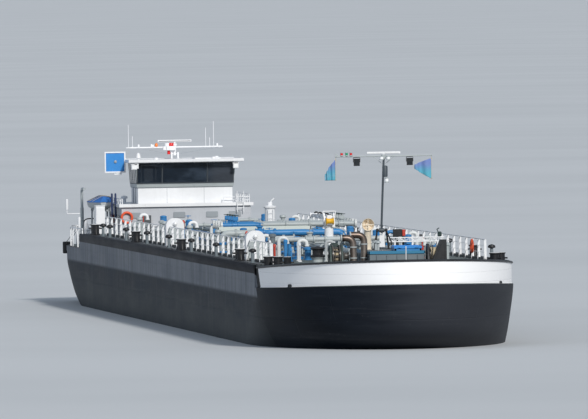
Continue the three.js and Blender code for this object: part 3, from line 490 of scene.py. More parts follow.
def hull_ring(row, bow_half=None):
    """The outline of the hull at one height, from a row of hull_levels, once round from the stern."""
    z, half, bow_start, bow_tip, stern_start, stern_tip, transom = row
    bow_half = bow_half or half
    side = [(stern_tip, 0.0)]
    for i in range(STERN_STEPS, -1, -1):
        turn = i / STERN_STEPS * math.pi / 2
        x = stern_start + (stern_tip - stern_start) * math.sin(turn)
        side.append((x, transom + (half - transom) * math.cos(turn)))
    side.append((bow_start - 0.05, half))
    for i in range(BOW_STEPS):
        turn = i / BOW_STEPS * math.pi / 2
        side.append((bow_start + (bow_tip - bow_start) * math.sin(turn), bow_half * math.cos(turn)))
    side.append((bow_tip, 0.0))
    if z <= LEDGE:
        share = min(max((z - 2.8) / (LEDGE - 2.8), 0.0), 1.0)
    else:
        share = (CARGO_DECK - z) / (CARGO_DECK - LEDGE)
    port = [(x, y, z + share * sheer_lift(x)) for x, y in side]
    return port + [(x, -y, high) for x, y, high in port[-2:0:-1]]


def solid_object(name, work):
    """A bare object that only the boolean modifiers use."""
    made = bpy.data.objects.new(name, work.mesh(name))
    bpy.context.collection.objects.link(made)
    return made


def carve(body, cuts=(), joins=()):
    """Cuts pieces of work out of a body and welds others to it, and returns its new mesh."""
    tools = []
    for operation, works in (("DIFFERENCE", cuts), ("UNION", joins)):
        for work in works:
            tool = solid_object("tool", work)
            tools.append(tool)
            step = body.modifiers.new("step", "BOOLEAN")
            step.operation = operation
            step.solver = "EXACT"
            step.object = tool
    bpy.context.view_layer.update()
    shaped = bpy.data.meshes.new_from_object(body.evaluated_get(bpy.context.evaluated_depsgraph_get()))
    body.modifiers.clear()
    body.data = shaped
    for tool in tools:
        bpy.data.objects.remove(tool)
    return shaped


def weld_hull():
    rings = [hull_ring(level) for level in hull_levels()]
    upper = (SIDE, KNUCKLE, BAND_TIP, -48.5, -55.0, 4.3)
    rings += [hull_ring((z, *upper), BAND_HALF) for z in (LEDGE + 0.04, CARGO_DECK - CLEARANCE)]
    around = len(rings[0])
    shell = Work()
    faces = []
    for level in range(len(rings) - 1):
        for i in range(around):
            a, b = level * around + i, level * around + (i + 1) % around
            faces.append((a, a + around, b + around, b))
    top = (len(rings) - 1) * around
    for i in range(around // 2):
        left = [(around - i) % around, around - i - 1]
        floor = list(dict.fromkeys([i, i + 1, left[1], left[0]]))
        faces.append(tuple(floor))
        faces.append(tuple(top + k for k in reversed(floor)))
    shell.add([p for ring in rings for p in ring], faces)
    hull = solid_object("hull_shell", shell)

    tunnel = Work().turned([(TUNNEL_RADIUS, -56.0), (TUNNEL_RADIUS, -46.3)], (0, 0, SHAFT_Z), "x", 48)
    bay = Work().block((-56, -49.15), (-2.1, 2.1), (-1, 2.02))
    after_well = Work().block((-56, AFT_STEP), (-7, 7), (AFT_DECK - CLEARANCE, 7))
    fore_well = Work().block((FORE_STEP, 57), (-7, 7), (FORE_DECK - CLEARANCE, 7))
    stocks = [Work().turned([(0.1, 1.82), (0.1, 2.47)], (-50.2, y, 0)) for y in (-0.52, 0.52)]
    skeg = Work().slab([(-46.9, -0.19), (-41.5, -0.34), (-41.5, 0.34), (-46.9, 0.19)], 0.0, 1.6)
    taper = [(0.2, -47.35), (0.24, -46.9), (0.3, -46.2), (0.3, -44.9)]
    boss = Work().turned(taper, (0, 0, SHAFT_Z), "x", 28)
    carve(hull, [tunnel, bay, after_well, fore_well, *stocks], [skeg, boss])
    return hull


def rubbing_strakes():
    """Half-round fenders that run along both sides under the deck edge, with tapered ends."""
    section = [(5.6, 5.0), (5.67, 5.01), (5.7, 5.06), (5.7, 5.35), (5.675, 5.395), (5.6, 5.4)]
    ends = [(AFT_STEP, -0.09), (AFT_STEP + 0.25, 0.0), (KNUCKLE - 0.2, 0.0), (KNUCKLE, -0.05)]
    strake = Work().swept([[(x, y + tuck, z) for y, z in section] for x, tuck in ends])
    return both_sides(strake)


def hull_paint():
    """All the paint of the hull, laid on by height and station: bottom, side, belt, band, deck."""
    paint = Finish("hull_plating_paint")
    at = paint.place()
    x, y, z = paint.axes(at)
    wide = paint.noise(paint.stretched(at, (0.16, 0.16, 0.7)), 1.1, 5.0, 0.6)
    streak = paint.noise(paint.stretched(at, (1.0, 1.0, 0.05)), 2.2, 6.0, 0.72)
    scrape = paint.noise(paint.stretched(at, (0.1, 0.1, 2.4)), 1.5, 6.0, 0.72)
    fine = paint.noise(at, 5.0, 6.0, 0.72)
    ragged = z + (fine - 0.5) * 0.1 + (wide - 0.5) * 0.2

    lower = paint.coats(
        (0.009, 0.014, 0.023),
        (wide.rises(0.35, 0.7), (0.024, 0.034, 0.048)),
        (scrape.rises(0.52, 0.78) * 0.6, (0.075, 0.08, 0.088)),
        ((1.0 - (z + (wide - 0.5) * 1.4).rises(2.3, 3.8)) * 0.75, (0.058, 0.066, 0.068)),
        (streak.rises(0.5, 0.75) * 0.5, (0.085, 0.092, 0.095)),
    )
    topside = paint.coats(
        (0.205, 0.222, 0.25),
        (streak.rises(0.42, 0.66), (0.125, 0.137, 0.155)),
        (wide.rises(0.45, 0.75) * 0.5, (0.135, 0.15, 0.18)),
        (scrape.rises(0.6, 0.8) * 0.35, (0.07, 0.077, 0.09)),
    )
    belt = paint.blend(scrape.rises(0.45, 0.75), (0.008, 0.009, 0.014), (0.028, 0.03, 0.038))
    side = paint.coats(
        lower, (ragged.rises(*about(TOPSIDE_LOW, 0.025)), topside), (z.rises(*about(BELT_LOW, 0.008)), belt)
    )

    # The bow's black. The coat that lightens it towards port is painted light: the lit port side of the bow.
    # The other coats are tone, scrapes and specks of wear.
    black = paint.coats(
        (0.0025, 0.0045, 0.0085),
        (wide.rises(0.3, 0.7), (0.009, 0.013, 0.020)),
        ((y + (wide - 0.5) * 3.0).rises(-4.0, 2.5), (0.034, 0.037, 0.045)),
        (scrape.rises(0.5, 0.8) * 0.5, (0.045, 0.049, 0.057)),
        (fine.rises(0.6, 0.72) * scrape.rises(0.4, 0.6) * 0.5, (0.085, 0.085, 0.09)),
    )
    past = x.maths("MAXIMUM", (x - KNUCKLE) * (1 / (STEM - KNUCKLE)), 0.0)
    sheer = x.maths("POWER", past, 1.3) * SHEER_RISE
    white = paint.coats(
        (0.92, 0.92, 0.93),
        (streak.rises(0.58, 0.85) * 0.25, (0.66, 0.65, 0.63)),
        (fine.rises(0.68, 0.76) * 0.3, (0.5, 0.48, 0.46)),
    )
    bow = paint.blend((z - sheer).rises(LEDGE + 0.015, LEDGE + 0.025), black, white)
    slant = x + (z - 4.9) * 0.85
    forward = slant.rises(*about(KNUCKLE, 0.01))
    bow_black = paint.blend(slant.rises(KNUCKLE - 4.0, KNUCKLE + 2.0), lower, black)
    edge = forward * (1.0 - (slant - 1.0).rises(*about(KNUCKLE, 0.01))) * z.rises(4.25, 4.3)
    shelf = z.rises(5.2, 5.21) * (1.0 - x.rises(44.15, 44.2)) * forward
    side = paint.coats(
        side, (1.0 - z.rises(3.9, 4.1), bow_black), (forward, bow), (edge, EDGE_BLACK), (shelf, EDGE_BLACK)
    )

    bottom = paint.blend(fine.rises(0.5, 0.75), (0.055, 0.022, 0.018), (0.09, 0.045, 0.036))
    rust = fine.rises(0.62, 0.74) * streak.rises(0.5, 0.7) * (1.0 - forward)
    up = paint.axes(paint.node("ShaderNodeNewGeometry", {}, {}, "Normal"))[2]
    deck = paint.coats(
        (0.11, 0.135, 0.135),
        (wide.rises(0.35, 0.7), (0.165, 0.19, 0.185)),
        (fine.rises(0.58, 0.72) * 0.55, (0.07, 0.055, 0.048)),
        ((y * y).rises(27.6, 29.5) * (1.0 - forward), (0.06, 0.062, 0.068)),
    )
    side = paint.coats(
        bottom,
        (ragged.rises(*about(BOOT_TOP, 0.05)), side),
        (rust * 0.5, (0.09, 0.04, 0.025)),
        (up.rises(0.8, 0.9) * z.rises(4.5, 4.6), deck),
    )
    seams = paint.node("ShaderNodeTexBrick", {"offset": 0.5}, {
        "Vector": paint.node("ShaderNodeCombineXYZ", {}, [x, z, None]),
        "Scale": 1.0, "Mortar Size": 0.03, "Mortar Smooth": 1.0, "Brick Width": 6.2, "Row Height": 1.55,
    }, 1)
    relief = wide * 1.2 + fine * 0.2 - seams * 0.5
    return paint.wear(side, wide * 0.22 + 0.4, paint.bump(relief, 0.05, 0.4), specular_ior_level=0.05)


HULL_PAINT = hull_paint()
hull_shell = weld_hull()
hull_shell.data.materials.clear()
hull_shell.data.materials.append(HULL_PAINT)
hull_shell.data.shade_smooth()
hull_shell.data.set_sharp_from_angle(angle=math.radians(24))
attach(hull_shell, "ship")
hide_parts("hull")
rubbing_strakes().piece("rubbing_strakes", HULL_PAINT, slot="hull_paint", sharp=50)


# Bow bulwark: the plated rim of the foredeck, capped with a black half-round bar, stiffened inside
# by brackets, and pierced by one mooring slot on each bow.
BULWARK_LOW = 5.285
BULWARK_RISE = 0.42
BULWARK_THICK = 0.08
BULWARK_END = 1.525
BULWARK_STEPS = 120
BRACKETS = 22
SLOT_TURNS = (-1.008, 0.913)
SLOT_Z = 4.55


def rim_point(turn, inset, z):
    """A point of the bow's rim, at an angle from the stem and so far inside the plating."""
    reach = BAND_TIP - KNUCKLE
    return (KNUCKLE + (reach - inset) * math.cos(turn), (BAND_HALF - inset) * math.sin(turn), z)


def rim_top(turn):
    """The height of the bulwark's top, which rises towards the stem."""
    return BULWARK_LOW + BULWARK_RISE * math.cos(turn)


def build_bulwark():
    plating = []
    cap = []
    for i in range(BULWARK_STEPS + 1):
        turn = -BULWARK_END + 2 * BULWARK_END * i / BULWARK_STEPS
        top = rim_top(turn) - 0.03
        corners = ((0, FORE_DECK), (0, top), (BULWARK_THICK, top), (BULWARK_THICK, FORE_DECK))
        plating.append([rim_point(turn, inset, z) for inset, z in corners])
        cap.append([rim_point(turn, BULWARK_THICK / 2 - 0.115 * u, top + 0.055 * v) for u, v in circle(10)])
    rim = Work().swept(plating)
    rim.piece("bulwark_plating", HULL_PAINT, slot="white_paint", stands_for=["bow_bulwark"])
    Work().swept(cap).piece("bulwark_cap", BLACK, sharp=60)

    inner = Work()
    for i in range(BRACKETS):
        turn = -1.4 + 2.8 * i / (BRACKETS - 1)
        base = rim_point(turn, BULWARK_THICK, FORE_DECK)
        foot = rim_point(turn, BULWARK_THICK + 0.22, FORE_DECK)
        head = rim_point(turn, BULWARK_THICK, rim_top(turn) - 0.05)
        aside = Vector((-math.sin(turn), math.cos(turn), 0)) * 0.012
        points = [Vector(p) + aside * s for s in (-1, 1) for p in (base, foot, head)]
        inner.add(points, [(0, 1, 2), (5, 4, 3), (0, 3, 4, 1), (1, 4, 5, 2), (2, 5, 3, 0)])
    inner.piece("bulwark_brackets", WHITE)

    round_slot = [(0, -0.16, -0.06), (0, -0.16, 0.06), (0, 0.16, 0.06), (0, 0.16, -0.06), (0, -0.15, -0.06)]
    lip = Work().pipe(round_slot, 0.028, 0.04, 8, 3).block((-0.02, 0.006), (-0.15, 0.15), (-0.05, 0.05))
    slots = Work()
    for turn in SLOT_TURNS:
        out = math.atan2(math.sin(turn) / BAND_HALF, math.cos(turn) / (BAND_TIP - KNUCKLE))
        slots.copy(lip, rim_point(turn, -0.012, SLOT_Z), math.degrees(out))
    slots.piece("bow_slots", BLACK)


build_bulwark()


# Side rails: flat white posts with a thin top rail and two wires, standing in a dark foot strip,
# and inside the starboard rail two arched cabinets, each with a lamp on its front.
RAIL_Y = 4.75
RAIL_FROM = -37.0
RAIL_TO = 42.3
RAIL_PITCH = 2.4
RAIL_POSTS = 34
RAIL_HIGH = 0.95
RAIL_WIRES = ((RAIL_HIGH - 0.022, 0.022, 8), (0.36, 0.011, 6), (0.66, 0.011, 6))  # height, radius, sides
CABINETS = (-5.0, 32.4)
LAMP_GLASS = worn_paint("lamp_glass", (0.90, 0.91, 0.92), 0.15, 0.05)
ORANGE = worn_paint("signal_orange_paint", (0.75, 0.10, 0.035), 0.4, 0.15)
ROPE = worn_paint("faded_rope", (0.55, 0.47, 0.33), 0.85, 0.3, patch=3.0)


def build_rails():
    head = RAIL_HIGH - 0.025
    post = Work().slab([(-0.065, 0.04), (0.065, 0.04), (0.05, head), (-0.05, head)], *about(0, 0.018), "yz")
    post.block(about(0, 0.05), about(0, 0.075), (0.0, 0.045))
    post.slab([(0.018, 0.045), (0.1, 0.045), (0.018, 0.4)], *about(0, 0.012), "xz")
    for side, sign in SIDES:
        y = sign * RAIL_Y
        posts = Work()
        for x in spread(RAIL_FROM + 0.05, RAIL_PITCH, RAIL_POSTS):
            posts.copy(post, (x, y, CARGO_DECK))
        for high, wire, sides in RAIL_WIRES:
            posts.tube([(x, y, CARGO_DECK + high) for x in (RAIL_FROM, RAIL_TO)], wire, sides)
        posts.piece(f"rail_posts_{side}", WHITE, stands_for=[f"side_rail_{side}"])
        foot = Work().block((RAIL_FROM, RAIL_TO), about(y, 0.03), (CARGO_DECK, CARGO_DECK + 0.12))
        foot.piece(f"rail_foot_{side}", BLACK)


def arch(half, high, corner, steps=8):
    """A doorway's outline, rounded at its two upper corners, from the foot up and round."""
    quarter = circle(4 * steps)[:steps + 1]
    outline = [(-half, 0.0), (half, 0.0)]
    for side in (1, -1):
        arc = [(side * (half - corner + corner * u), high - corner + corner * v) for u, v in quarter]
        outline += arc[::side]
    return outline


def build_cabinets():
    body = Work().slab(arch(0.42, 1.33, 0.36), -0.4, 0.4, "yz")
    trim = Work().slab(arch(0.43, 1.34, 0.37), 0.37, 0.42, "yz")
    door = Work().slab(arch(0.33, 0.86, 0.03), 0.405, 0.43, "yz")
    door.tube([(0.44, 0.24, 0.38), (0.46, 0.24, 0.46), (0.44, 0.24, 0.54)], 0.014, 6)
    for z in (0.16, 0.7):
        door.turned([(0.022, z - 0.05), (0.022, z + 0.05)], (0.435, -0.33, 0), "z", 8)
    lamp = Work().turned([(0.085, 0.42), (0.085, 0.5), (0.06, 0.56), (0.02, 0.58)], (0, 0, 1.08), "x", 16)
    cage = Work().ring((0.5, 0, 1.08), 0.1, 0.012, "x")
    plinth = Work().block((-0.42, 0.42), (-0.44, 0.44), (0, 0.05))
    shells, doors, lamps = Work(), Work(), Work()
    for x in CABINETS:
        place = (x, -RAIL_Y + 0.25, CARGO_DECK)
        shells.copy(body, place).copy(trim, place).copy(plinth, place).copy(cage, place)
        doors.copy(door, place)
        lamps.copy(lamp, place)
    shells.piece("cabinet_shells", WHITE, bevel=0.015)
    doors.piece("cabinet_doors", PIPE_GREY)
    lamps.piece("cabinet_lamps", LAMP_GLASS)


build_rails()
build_cabinets()


# Mooring gear: doubler plates along the side decks with double bollards, whose flat tops are
# white, and the wing tanks' mushroom vents, grey-green stems under wide black caps.
STRIP_Y = 5.28
SIDE_BOLLARDS = (-37.9, -16.3, 6.3, 33.5)
MUSHROOM_VENTS = (-32.9, -29.3, -20.7, -9.9, 0.9, 11.8, 23.4, 39.7)
BOW_BOLLARDS = {"starboard": (44.95, -4.97, 26.0), "port": (44.95, 4.97, -26.0)}
SINGLE_BOLLARD = (46.4, -4.49)
VENT_CAP = [(0.1, 0.48), (0.165, 0.5), (0.172, 0.54), (0.15, 0.6), (0.08, 0.635), (0.02, 0.65)]
CAP_WHITE = worn_paint("bollard_cap_white", (0.72, 0.73, 0.74), 0.5, 0.6, dark=(0.2, 0.19, 0.18))


def bollard_post(radius, cap, high, sides=24):
    """A post with a crossbar under its lip, and its white top."""
    body = Work().turned([
        (radius + 0.05, 0.04), (radius + 0.05, 0.06), (radius, 0.09), (radius, high - 0.09),
        (cap, high - 0.06), (cap, high - 0.022), (cap - 0.015, high - 0.012),
    ], sides=sides)
    body.turned([(0.035, 0), (0.035, 2 * radius + 0.26)], (0, -radius - 0.13, high * 0.62), "y", 10)
    white = [(cap - 0.012, high - 0.02), (cap - 0.012, high - 0.006), (cap - 0.03, high)]
    return body, Work().turned(white, sides=sides)


def double_bollard(reach, radius, cap, high):
    """Black posts on a welded base plate, and their white tops."""
    body, top = bollard_post(radius, cap, high)
    end = reach + radius + 0.02
    side = radius + 0.02
    posts, tops = Work().block((-end, end), (-side, side), (0, 0.05)), Work()
    for sign in (-1, 1):
        posts.copy(body, (sign * reach, 0, 0))
        tops.copy(top, (sign * reach, 0, 0))
        x = sign * (reach + radius)
        posts.slab([(x, 0.05), (x + sign * 0.09, 0.05), (x, 0.3)], -0.014, 0.014, "xz")
    return posts, tops


def build_mooring_gear():
    posts, tops = double_bollard(0.34, 0.17, 0.21, 0.55)
    stem = Work().turned([(0.13, 0), (0.13, 0.025), (0.075, 0.03), (0.07, 0.48), (0.05, 0.52)], sides=14)
    for u, v in circle(4, 45):
        stem.turned([(0.014, 0.02), (0.014, 0.05)], (0.1 * u, 0.1 * v, 0), "z", 6)
    cap = Work().turned(VENT_CAP, sides=18)
    cap.ring((0, 0, 0.6), 0.035, 0.01, "x", 6, 10)
    for side, sign in SIDES:
        y = sign * STRIP_Y
        black = Work().block((-42, 43), about(y, 0.22), (CARGO_DECK, CARGO_DECK + 0.03))
        white, green = Work(), Work()
        for x in SIDE_BOLLARDS:
            black.copy(posts, (x, y, CARGO_DECK + 0.01))
            white.copy(tops, (x, y, CARGO_DECK + 0.01))
        for x in MUSHROOM_VENTS:
            at = (x, y + sign * 0.06, CARGO_DECK + 0.02)
            green.copy(stem, at)
            black.copy(cap, at)
        black.piece(f"bollards_{side}", BLACK, stands_for=[f"mooring_strip_{side}"])
        white.piece(f"bollard_tops_{side}", CAP_WHITE)
        green.piece(f"vent_stems_{side}", DECK_GREEN)

    posts, tops = double_bollard(0.4, 0.2, 0.23, 0.68)
    for side, (x, y, turn) in BOW_BOLLARDS.items():
        black = Work().copy(posts, (x, y, FORE_DECK), turn)
        white = Work().copy(tops, (x, y, FORE_DECK), turn)
        if side == "starboard":
            post, top = bollard_post(0.17, 0.18, 0.68)
            at = (*SINGLE_BOLLARD, FORE_DECK)
            black.copy(post, at).copy(Work().block((-1.2, 0.26), (-0.2, 0.2), (0, 0.05)), at, 15)
            white.copy(top, at)
        black.piece(f"bow_bollard_posts_{side}", BLACK, stands_for=[f"bow_bollards_{side}"])
        white.piece(f"bow_bollard_tops_{side}", CAP_WHITE)


build_mooring_gear()


# Foredeck house: grey-green plating with stiffeners and a blue edge round its flat roof, where
# the hatch lid, the mast legs and the cowl vent stand.
HOUSE_X = (44.2, 49.6)
HOUSE_HALF = 1.2
HOUSE_TOP = 6.0
HATCH_X = (47.9, 49.3)
HATCH_Y = (-0.05, 1.1)
ROOF_VENT = [(0.06, 0), (0.06, 0.3), (0.13, 0.32), (0.12, 0.38), (0.04, 0.43)]
JACKSTAFF = [(0.05, -0.13), (0.05, 0.04), (0.024, 0.06), (0.024, 0.98), (0.035, 1.0), (0.02, 1.03)]
TEAL = worn_paint("house_edge_blue", (0.03, 0.19, 0.33), 0.4, 0.2)
GLASS_DARK = worn_paint("dark_glass", (0.012, 0.016, 0.02), 0.08, 0.1, patch=0.4)


def build_fore_house():
    wide, well = (-HOUSE_HALF, HOUSE_HALF), (HOUSE_TOP - 0.6, HOUSE_TOP)
    walls = Work().block(HOUSE_X, wide, (FORE_DECK, well[0]))
    shaft = (HATCH_X[0] + 0.06, HATCH_X[1] - 0.06)
    for x in ((HOUSE_X[0], shaft[0]), (shaft[1], HOUSE_X[1])):
        walls.block(x, wide, well)
    for y in ((-HOUSE_HALF, HATCH_Y[0] + 0.06), (HATCH_Y[1] - 0.06, HOUSE_HALF)):
        walls.block(shaft, y, well)
    stiffener = (FORE_DECK + 0.03, HOUSE_TOP - 0.16)
    for y in (-0.9, -0.45, 0.0, 0.45, 0.9):
        walls.block((HOUSE_X[1], HOUSE_X[1] + 0.05), about(y, 0.012), stiffener)
    for x in spread(HOUSE_X[0] + 0.5, 0.75, 7):
        for y in wide:
            walls.block(about(x, 0.012), about(y, 0.05), stiffener)
    walls.piece("fore_house_walls", DECK_GREEN, bevel=0.012, stands_for=["fore_house"])

    over = HOUSE_HALF + 0.045
    round_roof = ((HOUSE_X[0] - 0.045, HOUSE_X[1] + 0.045), (-over, over))
    edge = Work().rim(*round_roof, 0.05, (HOUSE_TOP - 0.12, HOUSE_TOP + 0.012))
    edge.piece("fore_house_edge", TEAL, bevel=0.008)

    Work().rim(HATCH_X, HATCH_Y, 0.06, (HOUSE_TOP - 0.02, HOUSE_TOP + 0.1)).piece("hatch_coaming", BLUE)

    low, high = HOUSE_TOP + 0.103, HOUSE_TOP + 0.2
    wide, deep = ((span[0] - 0.04, span[1] + 0.04) for span in (HATCH_X, HATCH_Y))
    lid = Work().block(wide, deep, (low, high))
    for x in (HATCH_X[0] + 0.25, HATCH_X[1] - 0.25):
        lid.block(about(x, 0.015), HATCH_Y, (high, high + 0.03))
    for y in (HATCH_Y[0] + 0.2, HATCH_Y[1] - 0.2):
        grip = ((0.04, -0.07), (0.1, -0.07), (0.1, 0.07), (0.04, 0.07))
        lid.pipe([(HATCH_X[1] + a, y + b, low + 0.05) for a, b in grip], 0.012, 0.02, 6, 3)
    node = "fore_hatch_lid"
    lid.piece("hatch_lid_plate", BOARD_BLUE, node, "blue_paint", bevel=0.012, stands_for=[node])

    fittings = Work()
    for x in (46.2, 47.1):
        fittings.turned(ROOF_VENT, (x, -0.55, HOUSE_TOP), "z", 14)
    fittings.turned([(0.2, 0), (0.2, 0.05), (0.17, 0.08), (0.02, 0.1)], (46.6, 0.55, HOUSE_TOP), "z", 20)
    fittings.piece("fore_house_fittings", PIPE_GREY)
    Work().turned(JACKSTAFF, (52.6, 0.06, FORE_DECK + 0.12), "z", 10).piece("jackstaff", WHITE)


build_fore_house()


# Windlasses and capstan: cast gear on welded beds, with brake bands, pawl gear, chain in the
# gypsy and hawsers wound on the drums.
IRON_GREEN = worn_paint("windlass_green_paint", (0.022, 0.045, 0.042), 0.45, 0.35, dark=(0.07, 0.065, 0.058))
GREASED = worn_paint("greased_iron", (0.07, 0.065, 0.06), 0.3, 0.5, dark=(0.16, 0.10, 0.06))
AXLE = 0.72
GYPSY = [(0.2, 0.17), (0.22, 0.2), (0.15, 0.27), (0.15, 0.37), (0.22, 0.43), (0.22, 0.44)]
WINDLASSES = {  # x, y, where the inner cheek stands, and the bed's paint
    "starboard": (49.6, -2.57, 0.08, IRON_GREEN),
    "port": (49.6, 1.72, 0.3, BLACK),
}
CAPSTAN_AT = (49.0, -3.42, FORE_DECK)
CAPSTAN_STEM = [(0.34, 0), (0.34, 0.06), (0.24, 0.1), (0.235, 0.14), (0.22, 0.58), (0.3, 0.68)]
CAPSTAN_HEAD = [
    (0.28, 0.68), (0.33, 0.7), (0.33, 0.74), (0.24, 0.8), (0.225, 0.9), (0.25, 1.0), (0.33, 1.04),
    (0.33, 1.08), (0.26, 1.12), (0.08, 1.14), (0.06, 1.16),
]


def hawser_coils(low, high, radius, rope):
    """Rope wound on a drum that lies along Y, turn beside turn."""
    points = []
    turns = int((high - low) / (2 * rope))
    pitch = (high - low - 2 * rope) / (turns * 16)
    for k in range(turns * 16 + 1):
        turn = 2 * math.pi * k / 16
        points.append((math.sin(turn) * radius, low + rope + pitch * k, AXLE + math.cos(turn) * radius))
    return Work().tube(points, rope, 6)


def build_windlasses():
    cheek = [(-0.62, 0.0), (-0.3, 1.12), (-0.22, 1.2), (0.22, 1.2), (0.3, 1.12), (0.62, 0.0)]
    axle = ((0, 0, AXLE), "y")
    for side, (x, y, inner, bed_paint) in WINDLASSES.items():
        at = (x, y, FORE_DECK)
        bed = Work().block((-0.7, 0.7), (-0.46, 0.46), (0, 0.08))
        gear = Work().turned([(0.08, -0.45), (0.08, 0.45)], *axle, 16)
        for low in (-0.42, inner):
            bed.slab(cheek, low, low + 0.09, "xz")
            gear.turned([(0.14, low - 0.02), (0.14, low + 0.11)], *axle, 16)
        if side == "starboard":
            bed.block((-0.66, -0.2), (-0.3, 0.02), (0.05, 1.26))
            bed.block((-0.6, -0.26), (-0.26, -0.02), (1.26, 1.3))
            for low in (-0.31, 0.0):
                gear.turned([(0.5, low), (0.5, low + 0.06)], *axle, 28)
            gear.turned(GYPSY, *axle, 24)
            for u, v in circle(10):
                gear.turned([(0.05, -0.26), (0.05, -0.02)], (0.36 * u, 0, AXLE + 0.36 * v), "y", 6)
            coil = hawser_coils(-0.25, 0.0, 0.31, 0.022)
        else:
            gear.turned([(0.34, -0.3), (0.34, -0.27), (0.3, -0.26), (0.3, 0.12), (0.34, 0.14)], *axle, 24)
            coil = hawser_coils(-0.26, 0.12, 0.31, 0.022)
            bed.slab([(-0.42, 0.05), (0.4, 0.05), (0.4, 1.38), (0.14, 1.38)], 0.15, 0.66, "yz")
            bed.slab([(-0.28, 0.22), (0.3, 0.22), (0.3, 1.2), (0.18, 1.2)], 0.66, 0.68, "yz")
        for sign in (-1, 1):
            lever = [(sign * 0.5, -0.2, 0.08), (sign * 0.42, -0.2, 0.6), (sign * 0.52, -0.2, 1.02)]
            gear.tube(lever, 0.024, 8).ring((sign * 0.52, -0.2, 1.04), 0.1, 0.014, "y")
        node = f"windlass_{side}"
        bed.piece(f"windlass_bed_{side}", bed_paint, "ship", "black_paint", at, 0.012, [node])
        gear.piece(f"windlass_gear_{side}", GREASED, at=at)
        coil.piece(f"windlass_hawser_{side}", ROPE, at=at)


def build_capstan():
    stem = Work().turned(CAPSTAN_STEM, sides=24)
    for u, v in circle(8):
        stem.turned([(0.022, 0.05), (0.022, 0.085)], (0.29 * u, 0.29 * v, 0), "z", 6)
    head = Work().turned(CAPSTAN_HEAD, sides=24)
    for u, v in circle(6):
        head.tube([(0.235 * u, 0.235 * v, 0.8), (0.24 * u, 0.24 * v, 1.0)], 0.02, 6)
    stem.piece("capstan_stem", PIPE_GREY, at=CAPSTAN_AT, stands_for=["capstan"])
    head.piece("capstan_head", BLACK, at=CAPSTAN_AT)


build_windlasses()
build_capstan()


# Vent and exhausts: a cream cowl with crossed bars in its mouth, and two lagged exhaust pipes
# of heat-browned steel that turn to starboard and end black with soot.
COWL_AT = (45.0, -0.77, 6.003)
COWL_STEM = [
    (0.2, 0), (0.2, 0.03), (0.155, 0.05), (0.155, 0.92), (0.175, 0.94), (0.175, 0.98), (0.155, 1.0),
    (0.155, 1.06),
]
COWL_MOUTH = [
    (0.03, -0.21), (0.12, -0.19), (0.19, -0.12), (0.235, 0.0), (0.262, 0.12), (0.28, 0.165),
    (0.27, 0.185), (0.25, 0.17), (0.225, 0.05), (0.15, -0.08), (0.05, -0.12),
]


def burnt_steel():
    burnt = Finish("heat_browned_steel")
    at = burnt.place()
    y, z = burnt.axes(at)[1:]
    broad = burnt.noise(at, 3.0, 4.0)
    tone = burnt.blend(broad.rises(0.3, 0.7), (0.17, 0.135, 0.115), (0.33, 0.29, 0.26))
    tone = burnt.blend((z + (broad - 0.5) * 0.4).rises(6.2, 6.75) * 0.7, tone, (0.085, 0.05, 0.035))
    sooty = 1.0 - (y + (broad - 0.5) * 0.1).rises(-2.42, -2.2)
    tone = burnt.blend(sooty * z.rises(6.3, 6.4), tone, (0.008, 0.008, 0.009))
    return burnt.wear(tone, broad * 0.2 + 0.28, burnt.bump(broad, 0.01, 0.3), metallic=0.75)


def build_vent_and_exhausts():
    cowl = Work().turned(COWL_STEM, sides=24).turned(COWL_MOUTH, (0.05, 0, 1.1), "x", 28)
    for y, z in ((0.25, 0), (0, 0.25)):
        cowl.tube([(0.215, -y, 1.1 - z), (0.215, y, 1.1 + z)], 0.016, 6)
    cowl.turned([(0.04, 0.2), (0.04, 0.235)], (0, 0, 1.1), "x", 10)
    for z in (0.3, 0.62):
        cowl.ring((0, 0, z), 0.158, 0.01)
    cowl.piece("cowl", CREAM, at=COWL_AT, stands_for=["cowl_vent"], sharp=50)

    pipes, collars = Work(), Work()
    for x, y, top, run in ((49.3, -1.89, 6.6, 0.54), (48.9, -1.37, 6.72, 0.62)):
        pipes.pipe([(x, y, FORE_DECK), (x, y, top), (x, y - run, top)], 0.15, 0.33, 20, 8)
        for z in (FORE_DECK + 0.14, FORE_DECK + 0.62, top - 0.4):
            collars.turned([(0.168, z - 0.025), (0.168, z + 0.025)], (x, y, 0), "z", 20)
        collars.turned([(0.162, y - run - 0.004), (0.162, y - run + 0.05)], (x, 0, top), "y", 20)
        pipes.turned([(0.125, y - run - 0.004), (0.125, y - run - 0.006)], (x, 0, top), "y", 20)
    collars.block((48.7, 49.52), (-2.08, -1.215), (FORE_DECK, FORE_DECK + 0.12))
    pipes.piece("exhaust_pipes", burnt_steel(), slot="stainless", stands_for=["bow_exhausts"], sharp=50)
    collars.piece("exhaust_collars", PIPE_GREY, bevel=0.006)


build_vent_and_exhausts()


